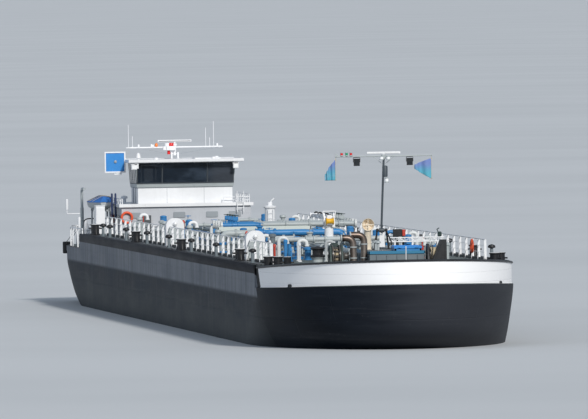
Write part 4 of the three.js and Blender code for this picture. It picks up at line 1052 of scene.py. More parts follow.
# Bow mast: two black splayed legs with a white board between them, a pole that folds aft on a
# pin, and a yard with navigation lights, floodlights, a radar and a flag at each end.
MAST_X = 44.9
MAST_FOOT_Y = -0.14
PIVOT_Z = 6.84
YARD_Z = 10.11
YARD_HALF = 2.15
MAST_GREY = worn_paint("mast_grey_paint", (0.055, 0.07, 0.085), 0.45, 0.3)
LENS_RED = worn_paint("red_lens", (0.65, 0.02, 0.02), 0.2, 0.05)
LENS_GREEN = worn_paint("green_lens", (0.01, 0.32, 0.16), 0.2, 0.05)
LANTERN_FOOT = ((1.15, 0), (1.15, 0.2), (1, 0.25))
LANTERN_CAP = ((1, 0.78), (1.15, 0.82), (1.1, 0.92), (0.5, 1))
LANTERN_GLASS = ((0.95, 0.22), (0.98, 0.5), (0.95, 0.8))
LAMPS = (  # glass, place, radius and height
    ("red", (MAST_X, -1.86, YARD_Z + 0.02), 0.062, 0.17),
    ("green", (MAST_X, -1.64, YARD_Z + 0.02), 0.062, 0.17),
    ("red", (MAST_X, -1.45, YARD_Z + 0.02), 0.062, 0.17),
    ("white", (MAST_X + 0.13, -0.11, YARD_Z - 0.17), 0.085, 0.17),
    ("white", (MAST_X + 0.13, 0.19, YARD_Z - 0.17), 0.085, 0.17),
    ("white", (MAST_X + 0.15, 0.1, 8.93), 0.085, 0.24),
)


def lantern(at, radius, high):
    """A ship's lantern: its base and cap, and its glass."""
    base, glass = Work(), Work()
    for work, shape in ((base, LANTERN_FOOT), (base, LANTERN_CAP), (glass, LANTERN_GLASS)):
        work.turned([(radius * wide, high * level) for wide, level in shape], at, sides=16)
    return base, glass


def floodlight(at, half, high):
    """A box lamp that looks ahead and down: its housing with fins and visor, and its glass."""
    x, y, z = at
    box = Work().block((x - 0.05, x + 0.07), about(y, half), (z - high, z))
    for fin in spread(y - half + 0.03, (2 * half - 0.06) / 4, 5):
        box.block((x - 0.09, x - 0.05), about(fin, 0.006), (z - high + 0.03, z - 0.03))
    box.block((x + 0.07, x + 0.12), about(y, half), (z - 0.02, z))
    arm, low, top = half + 0.02, z - high / 2, z + 0.05
    box.pipe([(x, y - arm, low), (x, y - arm, top), (x, y + arm, top), (x, y + arm, low)], 0.012, 0.03, 6, 3)
    return box, Work().block((x + 0.07, x + 0.082), about(y, half - 0.03), (z - high + 0.03, z - 0.04))


def radar_scanner(half, rise, at):
    """A radar's scanner bar, with its slotted face, on the drive that turns it."""
    x, y, z = at
    low = z + rise
    bar = Work().block((x - 0.05, x + 0.04), about(y, half), (low, low + 0.1))
    bar.turned([(0.07, 0), (0.07, rise * 0.4), (0.05, rise + 0.01)], at, sides=16)
    return bar, Work().block((x + 0.04, x + 0.055), about(y, half - 0.04), (low + 0.02, low + 0.08))


def build_mast_foot():
    foot = HOUSE_TOP + CLEARANCE
    rise = PIVOT_Z - foot
    legs = Work().block((-0.2, 0.2), (-0.44, 0.44), (0, 0.03))
    leg = ((0.16, rise + 0.08), (0.22, rise + 0.08), (0.35, 0), (0.27, 0))
    strut = ((0.07, 0.2, rise * 0.95), (0.5, 0.36, rise * 0.42), (0.62, 0.42, 0))
    for side in (-1, 1):
        legs.slab([(side * y, z) for y, z in leg], -0.07, 0.07, "yz")
        legs.block((-0.16, 0.16), about(side * 0.31, 0.12), (0, 0.035))
        legs.tube([(x, side * y, z) for x, y, z in strut], 0.03, 8)
        legs.turned([(0.075, side * 0.22), (0.075, side * 0.25)], (0, 0, rise), "y", 6)
    legs.turned([(0.05, -0.2), (0.05, 0.2)], (0, 0, rise), "y", 16)
    at = (MAST_X, MAST_FOOT_Y, foot)
    legs.piece("mast_leg_plates", BLACK, at=at, bevel=0.008, stands_for=["mast_legs"])
    board = Work().slab([(-0.13, 0.1), (0.13, 0.1), (0.1, 0.62), (-0.1, 0.62)], 0.07, 0.085, "yz")
    board.piece("mast_foot_board", WHITE, at=at)


def build_mast():
    pin = (MAST_X, MAST_FOOT_Y, PIVOT_Z)
    bent = [set_out(pin, "z", 0, 0, -0.12), set_out(pin, "z", 0, 0, 0.25), (MAST_X, 0, YARD_Z - 0.1)]
    pole = Work().pipe(bent, 0.048, 0.1, 14)
    pole.turned([(0.09, -0.12), (0.09, 0.12)], pin, "y", 18)
    pole.turned([(0.065, 0.2), (0.065, 0.24)], pin, sides=14)
    pole.turned([(0.09, 0), (0.115, 0.03), (0.12, 0.44), (0.1, 0.48), (0.05, 0.5)], (MAST_X, 0.05, 9.19))
    yard = Work().tube([(MAST_X, -YARD_HALF, YARD_Z), (MAST_X, YARD_HALF, YARD_Z)], 0.03, 10)
    yard.turned([(0.1, -0.12), (0.11, -0.08), (0.11, 0.06)], (MAST_X, 0, YARD_Z), sides=18)
    yard.block(about(MAST_X, 0.04), (-YARD_HALF, 0.1 - YARD_HALF), (YARD_Z + 0.03, YARD_Z + 0.13))
    for side in (-1, 1):
        yard.turned([(0.042, -0.02), (0.042, 0.02)], (MAST_X, side * (YARD_HALF - 0.02), YARD_Z), "y", 10)
        yard.tube([(MAST_X, side * 0.5, YARD_Z), (MAST_X, side * 0.05, YARD_Z - 0.35)], 0.012, 6)
    lamps = {"red": Work(), "green": Work(), "white": Work()}
    for tint, at, radius, high in LAMPS:
        base, glass = lantern(at, radius, high)
        yard.copy(base)
        lamps[tint].copy(glass)
    pole.piece("mast_pole", MAST_GREY, "bow_mast", stands_for=["bow_mast"])
    yard.piece("mast_yard", PIPE_GREY, "bow_mast")
    for tint, paint in (("red", LENS_RED), ("green", LENS_GREEN), ("white", LAMP_GLASS)):
        lamps[tint].piece(f"mast_lamps_{tint}", paint, "bow_mast", slot="window_glass")

    boxes, glasses = Work(), Work()
    for y in (-1.2, 1.15):
        box, glass = floodlight((MAST_X, y, YARD_Z - 0.1), 0.13, 0.32)
        boxes.copy(box)
        glasses.copy(glass)
    boxes.piece("mast_floodlights", BLACK, "bow_mast")
    glasses.piece("mast_floodlight_glass", GLASS_DARK, "bow_mast")
    bar, face = radar_scanner(0.74, 0.03, (MAST_X, 0, YARD_Z + 0.063))
    bar.piece("bow_radar_bar", WHITE, "bow_radar", bevel=0.012, stands_for=["bow_radar"])
    face.piece("bow_radar_face", CAP_WHITE, "bow_radar")


build_mast_foot()
build_mast()


# Flags: thin weathered cloth, held by two rings along its hoist below the yard's end. The fly has
# dropped and lies in folds, so that it reaches far less out than its cut does.
FLAG_HOIST = 0.92
FLAG_TOP = YARD_Z - 0.12
FLAGS = (  # side, hoist's y, fly's length, fly's top and foot below the hoist's top, swing, waves
    ("port", YARD_HALF - 0.05, 0.86, 0.28, 0.46, 1.0, 1.5),
    ("starboard", -YARD_HALF, 0.72, 0.66, 0.92, 1.75, 2.0),
)


def flag_cloth():
    cloth = Finish("weathered_flag_cloth")
    at = cloth.place()
    z = cloth.axes(at)[2]
    weave = cloth.noise(cloth.stretched(at, (1.0, 40.0, 40.0)), 6.0, 2.0)
    broad = cloth.noise(at, 2.2, 4.0)
    tone = cloth.blend((z + broad * 0.3).rises(9.45, 9.95), (0.10, 0.40, 0.52), (0.17, 0.24, 0.52))
    tone = cloth.blend(broad.rises(0.55, 0.75) * 0.5, tone, (0.36, 0.46, 0.62))
    return cloth.wear(tone, 0.78, cloth.bump(weave, 0.004, 0.3))


def folded_fly(y, fly, top, foot, swing, waves):
    """A tapered cloth whose hoist stands at y and whose fly runs to -Y in folds."""
    columns, rows = 48, 20
    step = fly / columns
    points = []
    for k in range(rows + 1):
        v = k / rows
        across, along = y, MAST_X
        for i in range(columns + 1):
            t = i / columns
            high, low = top * t, FLAG_HOIST + (foot - FLAG_HOIST) * t
            points.append((along, across, FLAG_TOP - high - (low - high) * v))
            heading = swing * math.sin(2 * math.pi * waves * t + 0.6 + 0.7 * v) * (0.45 + 0.55 * t)
            across -= step * math.cos(heading)
            along += step * math.sin(heading)
    faces = []
    for k in range(rows):
        for i in range(columns):
            a = k * (columns + 1) + i
            faces.append((a, a + 1, a + columns + 2, a + columns + 1))
    return Work().add(points, faces)


def hang_flags():
    cloth = flag_cloth()
    for side, y, fly, top, foot, swing, waves in FLAGS:
        cut = folded_fly(y, fly, top, foot, swing, waves)
        flag = bpy.data.objects.new(f"flag_cloth_{side}", cut.mesh("flag"))
        bpy.context.collection.objects.link(flag)
        flag.data.materials.append(cloth)
        flag.data.shade_smooth()
        body = flag.modifiers.new("thickness", "SOLIDIFY")
        body.thickness = 0.0006
        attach(flag, "bow_mast")
        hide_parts(f"flag_{side}")
        halyard = Work().tube([(MAST_X, y + 0.02, z) for z in (YARD_Z, FLAG_TOP - FLAG_HOIST)], 0.008, 6)
        for z in (FLAG_TOP - 0.03, FLAG_TOP - FLAG_HOIST + 0.03):
            halyard.ring((MAST_X, y + 0.01, z), 0.028, 0.008, "x", 6, 12)
        line = halyard.piece(f"flag_halyard_{side}", ROPE, "bow_mast")


hang_flags()


# Cargo deck fittings that repeat: bolted flanges, handwheels, and the hatch, vent and pump that
# each tank has on both sides.
TANK_X = (-34.0, -21.0, -8.6, 5.0, 16.0, 29.0)
HATCH_Y = 3.55
PUMP_Y = 2.5
LINE_Y = 1.15
LINE_Z = 0.5
VENT_AFTER = 1.3
VALVE_AFTER = 1.32
PUMP_AFTER = 2.7
PUMP_PIPE_Z = 0.75
HATCH_LID = [(0.5, 0.505), (0.5, 0.55), (0.46, 0.575), (0.2, 0.61), (0.05, 0.62)]
TANK_VENT = [
    (0.13, 0), (0.13, 0.04), (0.09, 0.05), (0.09, 0.62), (0.12, 0.64), (0.12, 0.68), (0.09, 0.7),
    (0.1, 0.78), (0.16, 0.82), (0.16, 0.88), (0.12, 0.94), (0.03, 0.95),
]
PUMP_FOOT = [
    (0.28, 0), (0.28, 0.035), (0.24, 0.04), (0.24, 0.075), (0.28, 0.08), (0.28, 0.1), (0.12, 0.13),
    (0.12, 0.4), (0.17, 0.42), (0.17, 0.5),
]
PUMP_MOTOR = [(0.15, 0.5), (0.15, 0.94), (0.17, 0.95), (0.165, 1.0), (0.1, 1.03), (0.02, 1.04)]


def bolt_circle(work, at, radius, count, axis, reach, size=0.016):
    """Bolts through a flange, each so far out on either side of it."""
    for u, v in circle(count):
        work.turned([(size, -reach), (size, reach)], set_out(at, axis, radius * u, radius * v, 0), axis, 6)


def flange_joint(work, at, axis, radius):
    """Two flanges face to face with their bolts."""
    work.turned([(radius, -0.045), (radius, -0.005)], at, axis, 18)
    work.turned([(radius, 0.005), (radius, 0.045)], at, axis, 18)
    bolt_circle(work, at, radius - 0.035, 8, axis, 0.065, 0.013)


def handwheel(work, at, radius, stem=0.2):
    """A spoked wheel on an upright stem, the wheel at the given point."""
    x, y, z = at
    work.ring(at, radius, 0.014, "z", 6, 18)
    for u, v in ((radius, 0), (0, radius)):
        work.tube([(x - u, y - v, z), (x + u, y + v, z)], 0.01, 5)
    work.turned([(0.03, -0.02), (0.03, 0.03)], at, "z", 8)
    return work.turned([(0.018, -stem), (0.018, 0)], at, "z", 8)


def tank_hatch():
    body = Work().turned([(0.42, 0), (0.42, 0.45), (0.5, 0.455), (0.5, 0.49)], sides=28)
    body.turned(HATCH_LID, sides=28)
    for u, v in circle(8, 22):
        x, y = 0.47 * u, 0.47 * v
        body.turned([(0.026, 0.43), (0.026, 0.6), (0.014, 0.61)], (x, y, 0), "z", 6)
        body.tube([(x - 0.05 * v, y + 0.05 * u, 0.59), (x + 0.05 * v, y - 0.05 * u, 0.59)], 0.012, 5)
    body.block((-0.62, -0.45), (-0.14, 0.14), (0.44, 0.52))
    body.turned([(0.026, -0.2), (0.026, 0.2)], (-0.58, 0, 0.53), "y", 8)
    grip = ((-0.12, 0.59), (-0.12, 0.68), (0.12, 0.68), (0.12, 0.59))
    body.pipe([(0.3, y, z) for y, z in grip], 0.014, 0.03, 6, 3)
    body.turned([(0.1, 0.6), (0.1, 0.66), (0.07, 0.69)], (-0.08, 0, 0), "z", 14)
    return body


def tank_vent():
    vent = Work().turned(TANK_VENT, sides=16)
    vent.tube([(0.09, 0, 0.55), (0.2, 0, 0.6), (0.24, 0, 0.72)], 0.014, 6)
    return vent.ring((0, 0, 0.3), 0.095, 0.012, "z", 5, 14)


def pump_motor():
    pump = Work().turned(PUMP_FOOT).turned(PUMP_MOTOR).block((0.14, 0.24), (-0.09, 0.09), (0.6, 0.8))
    for u, v in circle(20):
        pump.tube([(0.155 * u, 0.155 * v, z) for z in (0.52, 0.93)], 0.012, 4)
    bolt_circle(pump, (0, 0, 0.06), 0.255, 8, "z", 0.055)
    return pump.turned([(0.05, 0.12), (0.05, 0.2), (0.075, 0.2), (0.075, 0.24)], (0, 0, 0.3), "x", 10)


def build_tank_gear():
    hatch, vent, pump = tank_hatch(), tank_vent(), pump_motor()
    first, last = TANK_X[0], TANK_X[-1]
    for side, sign in SIDES:
        flip = sign < 0
        hatch_y, pump_y = sign * HATCH_Y, sign * PUMP_Y
        hatches, pumps = Work(), Work()
        for x in TANK_X:
            hatches.copy(hatch, (x, hatch_y, CARGO_DECK), flip=flip)
            hatches.copy(vent, (x + VENT_AFTER, hatch_y, CARGO_DECK), flip=flip)
            pumps.copy(pump, (x + PUMP_AFTER, pump_y, CARGO_DECK), flip=flip)
        low, high = CARGO_DECK + 0.09, CARGO_DECK + 0.19
        hatches.tube([(first, hatch_y, low), (last + VENT_AFTER, hatch_y, low)], 0.045, 10)
        pumps.tube([(first + PUMP_AFTER, pump_y, high), (last + PUMP_AFTER, pump_y, high)], 0.045, 10)
        for x in spread(first + 4.7, 3.9, 16):
            flange_joint(pumps, (x, pump_y, high), "x", 0.08)
            hatches.block(about(x, 0.05), about(hatch_y, 0.09), (CARGO_DECK, CARGO_DECK + 0.06))
        hatches.piece(f"tank_hatch_covers_{side}", PIPE_GREY, stands_for=[f"tank_hatches_{side}"])
        pumps.piece(f"pump_motors_{side}", BLUE, stands_for=[f"cargo_pumps_{side}"])


build_tank_gear()


# Cargo lines and the manifold: flanged pipe on saddles, gate valves with handwheels, and the
# manifold's eight blind flanges, each with its valve, above a pair of bearers.
VALVE_WHITE = worn_paint("valve_white", (0.66, 0.68, 0.68), 0.4, 0.4, dark=(0.3, 0.28, 0.25))
YELLOW = worn_paint("hook_yellow_paint", (0.78, 0.42, 0.02), 0.4, 0.2)
MANIFOLD_X = (0.4, 1.6, 2.8, 4.0)
MANIFOLD_Z = 1.1
BEARER_Y = 1.8
END_VALVE_Y = 2.5
BLIND_FLANGE_Y = 3.155
RISER_Y = -4.05
RISER_END_Y = -2.45
CROSS_END_Y = 1.6
CROSS_VALVE_Y = -2.3
CROSS_PIPES = (("mid", 13.2, 0.15, 0.88, BLUE), ("fore", 35.2, 0.11, 0.95, PIPE_GREY))
VALVE_BODY = [(0.19, -0.12), (0.19, -0.08), (0.15, -0.06), (0.15, 0.06), (0.19, 0.08), (0.19, 0.12)]
VALVE_NECK = [(0.11, 0.1), (0.11, 0.2), (0.14, 0.21), (0.14, 0.24), (0.05, 0.27), (0.03, 0.4)]
END_VALVE = [(0.17, -0.15), (0.17, -0.11), (0.14, -0.09), (0.14, 0.09), (0.17, 0.11), (0.17, 0.15)]


def build_lines():
    for side, sign in SIDES:
        line = Work().tube([(-38, 0, LINE_Z), (42, 0, LINE_Z)], 0.12, 16)
        wheels = Work()
        for end in (-38.0, 41.96):
            line.turned([(0.17, end), (0.17, end + 0.04)], (0, 0, LINE_Z), "x", 18)
        for x in spread(-36.2, 6.15, 13):
            flange_joint(line, (x, 0, LINE_Z), "x", 0.18)
        for x in spread(-37.4, 4.1, 20):
            line.block(about(x, 0.04), (-0.13, 0.13), (LINE_Z - 0.16, LINE_Z - 0.1))
            for y in (-0.1, 0.1):
                line.post(x, y, 0.03, (0, LINE_Z - 0.12))
        for x in TANK_X:
            line.block(about(x, 0.06), (-0.2, 0.2), (0, 0.05))
            line.block(about(x, 0.04), (-0.06, 0.06), (0, LINE_Z))
            from_pump, valve = x + PUMP_AFTER, (x + VALVE_AFTER, 0, LINE_Z)
            bends = ((sign * 1.1, PUMP_PIPE_Z), (0, PUMP_PIPE_Z), (0, LINE_Z))
            line.pipe([(from_pump, y, z) for y, z in bends], 0.08, 0.15, 12, 5)
            flange_joint(line, (from_pump, sign * 0.62, PUMP_PIPE_Z), "y", 0.13)
            line.turned(VALVE_BODY, valve, "x", 18)
            line.turned(VALVE_NECK, valve, "z", 14)
            handwheel(wheels, set_out(valve, "z", 0, 0, 0.47), 0.15, 0.1)
        at = (0, sign * LINE_Y, CARGO_DECK)
        line.piece(f"cargo_line_pipes_{side}", PIPE_GREY, at=at, stands_for=[f"cargo_line_{side}"])
        wheels.piece(f"line_valve_wheels_{side}", BLUE, at=at)


def build_manifold():
    pipes, valves, wheels, painted = Work(), Work(), Work(), Work()
    for sign in (-1, 1):
        y = sign * BEARER_Y
        for half, low, high in ((0.05, 0.2, 0.17), (0.012, 0.19, 0.11), (0.05, 0.13, 0.1)):
            pipes.block((0.1, 4.3), about(y, half), (MANIFOLD_Z - low, MANIFOLD_Z - high))
        for x in (0.2, 4.2):
            pipes.block(about(x, 0.05), about(y, 0.04), (0, MANIFOLD_Z - 0.18)).post(x, y, 0.1, (0, 0.025))
    for x in MANIFOLD_X:
        at = (x, 0, MANIFOLD_Z)
        painted.turned([(0.11, -3.16), (0.11, -1.3)], at, "y", 18)
        pipes.turned([(0.11, -1.3), (0.11, 3.16)], at, "y", 18)
        for y in (-1.2, -0.1, 1.0):
            flange_joint(pipes, (x, y, MANIFOLD_Z), "y", 0.17)
        for sign in (-1, 1):
            end = (x, sign * BLIND_FLANGE_Y, MANIFOLD_Z)
            for low in (-0.045, 0.003):
                valves.turned([(0.21, low), (0.21, low + 0.04)], end, "y", 22)
            bolt_circle(valves, end, 0.17, 10, "y", 0.065)
            lug = ((-0.05, 3.2, 0.06), (0, 3.25, 0.09), (0.05, 3.2, 0.06))
            valves.tube([(x + a, sign * b, MANIFOLD_Z + c) for a, b, c in lug], 0.012, 6)
            middle = (x, sign * END_VALVE_Y, MANIFOLD_Z)
            body = painted if sign < 0 else pipes
            body.turned(END_VALVE, middle, "y", 20)
            bolt_circle(body, middle, 0.145, 8, "y", 0.17, 0.012)
            body.turned([(0.1, 0.08), (0.1, 0.2), (0.15, 0.21), (0.15, 0.25), (0.06, 0.28)], middle, "z", 16)
            body.block(about(x, 0.09), about(middle[1], 0.13), (MANIFOLD_Z + 0.26, MANIFOLD_Z + 0.4))
            handwheel(wheels, set_out(middle, "z", 0, 0, 0.45), 0.17, 0.08)
            drain = [(0.02, 0.1), (0.02, 0.2), (0.05, 0.2), (0.05, 0.24)]
            pipes.turned(drain, (x, sign * 2.9, MANIFOLD_Z), "z", 10)
    pipes.piece("manifold_pipes", PIPE_GREY, at=ON_DECK, stands_for=["manifold"])
    painted.piece("manifold_blue_ends", BLUE, at=ON_DECK)
    valves.piece("manifold_flanges", VALVE_WHITE, at=ON_DECK)
    wheels.piece("manifold_wheels", IRON_GREEN, at=ON_DECK)


def build_cross_pipes():
    for name, x, radius, z, paint in CROSS_PIPES:
        join = (0, RISER_END_Y, z)
        riser = Work().pipe([(0, RISER_Y, 0), (0, RISER_Y, z), join], radius, 0.34, 20, 8)
        pipe = Work().pipe([join, (0, CROSS_END_Y, z), (0, CROSS_END_Y, 0)], radius, 0.34, 20, 8)
        for y in (-3.4, -1.6, 0.2, 0.9):
            flange_joint(riser if y < RISER_END_Y else pipe, (0, y, z), "y", radius + 0.055)
        for y in (RISER_Y, CROSS_END_Y):
            pipe.turned([(radius + 0.1, 0), (radius + 0.1, 0.06), (radius, 0.07)], (0, y, 0), "z", 20)
            bolt_circle(pipe, (0, y, 0.06), radius + 0.06, 8, "z", 0.025)
            flange_joint(pipe, (0, y, 0.42), "z", radius + 0.055)
        side, body = radius + 0.07, radius + 0.03
        valve = [(side, -0.2), (side, -0.16), (body, -0.13), (body, 0.13), (side, 0.16), (side, 0.2)]
        pipe.turned(valve, (0, CROSS_VALVE_Y, z), "y", 22)
        neck = [(0.11, 0.1), (0.11, 0.26), (0.16, 0.27), (0.16, 0.31), (0.06, 0.34)]
        pipe.turned(neck, (0, CROSS_VALVE_Y, z), "z", 16)
        handwheel(pipe, (0, CROSS_VALVE_Y, z + 0.45), 0.18, 0.1)
        for y in (-1.0, 0.55):
            pipe.leg(0, y, 0.03, z - radius, 0.1)
        pipe.piece(f"cross_pipe_{name}_run", paint, at=(x, 0, CARGO_DECK), stands_for=[f"cross_pipe_{name}"])
        riser.piece(f"cross_pipe_{name}_riser", PIPE_GREY, at=(x, 0, CARGO_DECK))


build_lines()
build_manifold()
build_cross_pipes()


# Walkways: a small platform abaft the manifold, the pale cross walk just forward of it, and the
# light lattice gangway that is stowed across the fore end.
WALK_GREEN = worn_paint("catwalk_paint", (0.60, 0.65, 0.62), 0.5, 0.4, dark=(0.32, 0.34, 0.31))


def slats(work, x, ys, wide, z):
    """Bars of one width along X, each from its own Y."""
    for y in ys:
        work.block(x, (y, y + wide), z)


def build_walkways():
    low = 0.85
    walk = Work().rim((4.7, 5.6), (-3.48, 0.89), 0.04, (low, 1.04))
    walk.block((4.72, 5.58), (-3.46, 0.87), (0.94, 0.97))
    slats(walk, (4.76, 5.54), spread(-3.42, 0.08, 54), 0.018, (0.965, 0.985))
    for y in (-2.85, -1.75, -0.6, 0.7):
        for x in (4.74, 5.56):
            walk.leg(x, y, 0.04, low + 0.05, 0.09)
        walk.tube([(4.76, y, 0.15), (5.54, y, 0.8)], 0.018, 6)
        walk.block((4.74, 5.56), about(y, 0.03), (low, 0.94))
    walk.piece("cross_walk", WALK_GREEN, at=ON_DECK)

    step = Work().rim((-1.5, -0.6), (-1.2, 1.2), 0.04, (0.68, 0.82))
    step.block((-1.48, -0.62), (-1.18, 1.18), (0.76, 0.79))
    slats(step, (-1.45, -0.65), spread(-1.15, 0.08, 29), 0.018, (0.785, 0.8))
    for y in (-0.75, 0.75):
        for x in (-1.46, -0.64):
            step.leg(x, y, 0.04, 0.78, 0.08)
    step.piece("platform_frame", WALK_GREEN, at=ON_DECK, stands_for=["catwalk"])


def build_gangway():
    low, high, pitch = 0.92, 1.1, 0.246
    bridge = Work()
    for x in (43.02, 43.48):
        for z in (low, high):
            bridge.tube([(x, 0.3, z), (x, 2.8, z)], 0.02, 8)
        for k, y in enumerate(spread(0.32, pitch, 11)):
            bridge.tube([(x, y, low), (x, y, high)], 0.013, 6)
            if k < 10:
                start, end = (low, high) if k % 2 else (high, low)
                bridge.tube([(x, y, start), (x, y + pitch, end)], 0.011, 5)
    slats(bridge, (43.02, 43.48), spread(0.31, 0.0915, 28), 0.03, (0.905, 0.93))
    for y in (0.6, 2.5):
        for x in (43.04, 43.46):
            bridge.leg(x, y, 0.035, 0.9, 0.07)
        bridge.block((43.04, 43.46), about(y, 0.03), (0.84, 0.9))
        bridge.tube([(43.04, y, 0.1), (43.46, y, 0.8)], 0.016, 6)
    bridge.piece("gangway_lattice", WHITE, at=ON_DECK)
    hook = Work().turned([(0.05, 1.12), (0.09, 1.16), (0.09, 1.3), (0.05, 1.34)], (43.25, 2.62, 0), "z", 12)
    hook.tube([(43.25, 2.56, 1.3), (43.25, 2.5, 1.44), (43.25, 2.6, 1.5)], 0.025, 6)
    hook.piece("gangway_cleat", IRON_GREEN, at=ON_DECK)


build_walkways()
build_gangway()


# Vent tank: a bright white drum with a broad rim, a bolted top and a slanting relief pipe.
TANK_DRUM = [(0.3, 0), (0.3, 0.03), (0.24, 0.05), (0.24, 1.74), (0.3, 1.743), (0.3, 1.775)]
TANK_TOP = [(0.3, 1.785), (0.3, 1.825), (0.2, 1.86), (0.12, 1.88), (0.12, 2.0), (0.09, 2.025)]


def build_vent_tank():
    tank = Work().turned(TANK_DRUM, sides=28).turned(TANK_TOP, sides=28)
    bolt_circle(tank, (0, 0, 1.785), 0.275, 12, "z", 0.055)
    bolt_circle(tank, (0, 0, 0.03), 0.275, 8, "z", 0.025)
    for z in (0.6, 1.2):
        tank.ring((0, 0, z), 0.243, 0.012, "z", 6, 28)
    for side in (-0.12, 0.12):
        tank.tube([(0.28, side, 0.15), (0.28, side, 1.7)], 0.013, 6)
    for z in spread(0.3, 0.24, 6):
        tank.tube([(0.28, -0.12, z), (0.28, 0.12, z)], 0.01, 6)
    tank.tube([(0, 0.03, 1.98), (0.02, 0.1, 2.12), (0.04, 0.22, 2.2)], 0.035, 8)
    tank.pipe([(-0.2, -0.1, 0.4), (-0.42, -0.1, 0.4), (-0.42, -0.1, 0)], 0.05, 0.1, 10, 4)
    tank.piece("vent_tank_drum", WHITE, at=(-4.4, 0, CARGO_DECK), stands_for=["vent_tank"])


build_vent_tank()


# Hose crane: a bolted pedestal, a slewing column whose cheeks hold the jib pin, the box jib with
# its ram and hose, and a yellow hose saddle with the open frame that stands over it.
CRANE_X = 21.8
CRANE_PIVOT = 1.7
CRANE_AT = (CRANE_X, 0, CARGO_DECK)
CRANE_FOOT = [(0.36, 0), (0.36, 0.04), (0.33, 0.06), (0.275, 0.62), (0.34, 0.66), (0.34, 0.738)]
CRANE_COLUMN = [(0.28, 0.743), (0.28, 0.79), (0.2, 0.82), (0.2, 1.24), (0.23, 1.26), (0.23, 1.3)]
CRANE_CHEEK = [(-0.2, 1.3), (0.2, 1.3), (0.2, 1.5), (0.1, 1.86), (0.04, 1.93), (-0.08, 1.93), (-0.2, 1.8)]
SADDLE = [(0.1, -0.19), (0.17, -0.17), (0.12, -0.1), (0.12, 0.1), (0.17, 0.17), (0.1, 0.19)]
JIB_HEAD = [(0.14, -0.2), (0.14, -0.17), (0.1, -0.14), (0.1, 0.14), (0.14, 0.17), (0.14, 0.2)]
HOSE = worn_paint("black_hose", (0.016, 0.016, 0.018), 0.6, 0.3)


def build_crane_post():
    foot = Work().turned(CRANE_FOOT, sides=28)
    bolt_circle(foot, (0, 0, 0.04), 0.345, 10, "z", 0.03)
    bolt_circle(foot, (0, 0, 0.65), 0.315, 14, "z", 0.035)
    for u, v in circle(6):
        foot.tube([(0.34 * u, 0.34 * v, 0.04), (0.28 * u, 0.28 * v, 0.5)], 0.02, 4)
    foot.piece("crane_foot", WHITE, at=CRANE_AT, stands_for=["crane_pedestal"])

    column = Work().turned(CRANE_COLUMN, sides=24).block((-0.22, 0.22), (-0.26, 0.26), (1.243, 1.363))
    for y in (-0.26, 0.19):
        column.slab(CRANE_CHEEK, y, y + 0.07, "xz")
        column.turned([(0.085, y - 0.015), (0.085, y + 0.085)], (0, 0, CRANE_PIVOT), "y", 14)
    column.turned([(0.05, -0.22), (0.05, 0.22)], (0, 0, CRANE_PIVOT), "y", 14)
    for y in (-0.16, 0.16):
        column.slab([(-0.3, 0.95), (-0.19, 0.9), (-0.19, 1.12), (-0.3, 1.08)], y - 0.02, y + 0.02, "xz")
    column.piece("crane_column", WHITE, "crane_post", at=CRANE_AT, bevel=0.008, stands_for=["crane_post"])
    saddle = Work().turned(SADDLE, (0.42, 0, 1.52), "y", 18).block((0.2, 0.44), (-0.03, 0.03), (1.46, 1.58))
    saddle.piece("hose_saddle", YELLOW, "crane_post", at=CRANE_AT)
    bars = [(0.16, y, z) for y, z in ((-0.225, 1.6), (-0.3, 1.97), (0.3, 1.97), (0.225, 1.6))]
    Work().pipe(bars, 0.024, 0.05, 8, 3).piece("crane_head_frame", WHITE, "crane_post", at=CRANE_AT)


def build_jib():
    jib = Work()
    for z in (1, -1):
        jib.slab([(-6.4, 0.0), (0.18, 0.0), (0.18, z * 0.13), (-6.4, z * 0.055)], -0.1, 0.1, "xz")
        edge = [(-6.4, z * 0.03), (0.18, z * 0.1), (0.18, z * 0.13), (-6.4, z * 0.06)]
        jib.slab(edge, -0.12, 0.12, "xz")
    jib.turned([(0.1, -0.12), (0.1, 0.12)], (0, 0, 0), "y", 16)
    for x in (-1.5, -3.1, -4.7):
        jib.block(about(x, 0.02), (-0.125, 0.125), (-0.12, 0.12))
    head = ((-6.32, 0, 0), "y")
    jib.turned(JIB_HEAD, *head, 20).turned([(0.05, -0.22), (0.05, 0.22)], *head, 10)
    at = (CRANE_X, 0, CARGO_DECK + CRANE_PIVOT)
    jib.piece("crane_boom", WHITE, "crane_jib", at=at, stands_for=["crane_jib"])
    run = ((-0.3, 0, 0.15), (-1.5, 0.02, 0.15), (-3.1, -0.02, 0.135), (-4.7, 0.02, 0.12), (-6.1, 0, 0.12))
    hose = Work().tube(run, 0.035, 8)
    for x in (-0.6, -2.2, -3.8, -5.4):
        hose.block(about(x, 0.02), (-0.06, 0.06), (0.06, 0.19))
    hose.piece("crane_boom_hose", HOSE, "crane_jib", at=at)


build_crane_post()
build_jib()


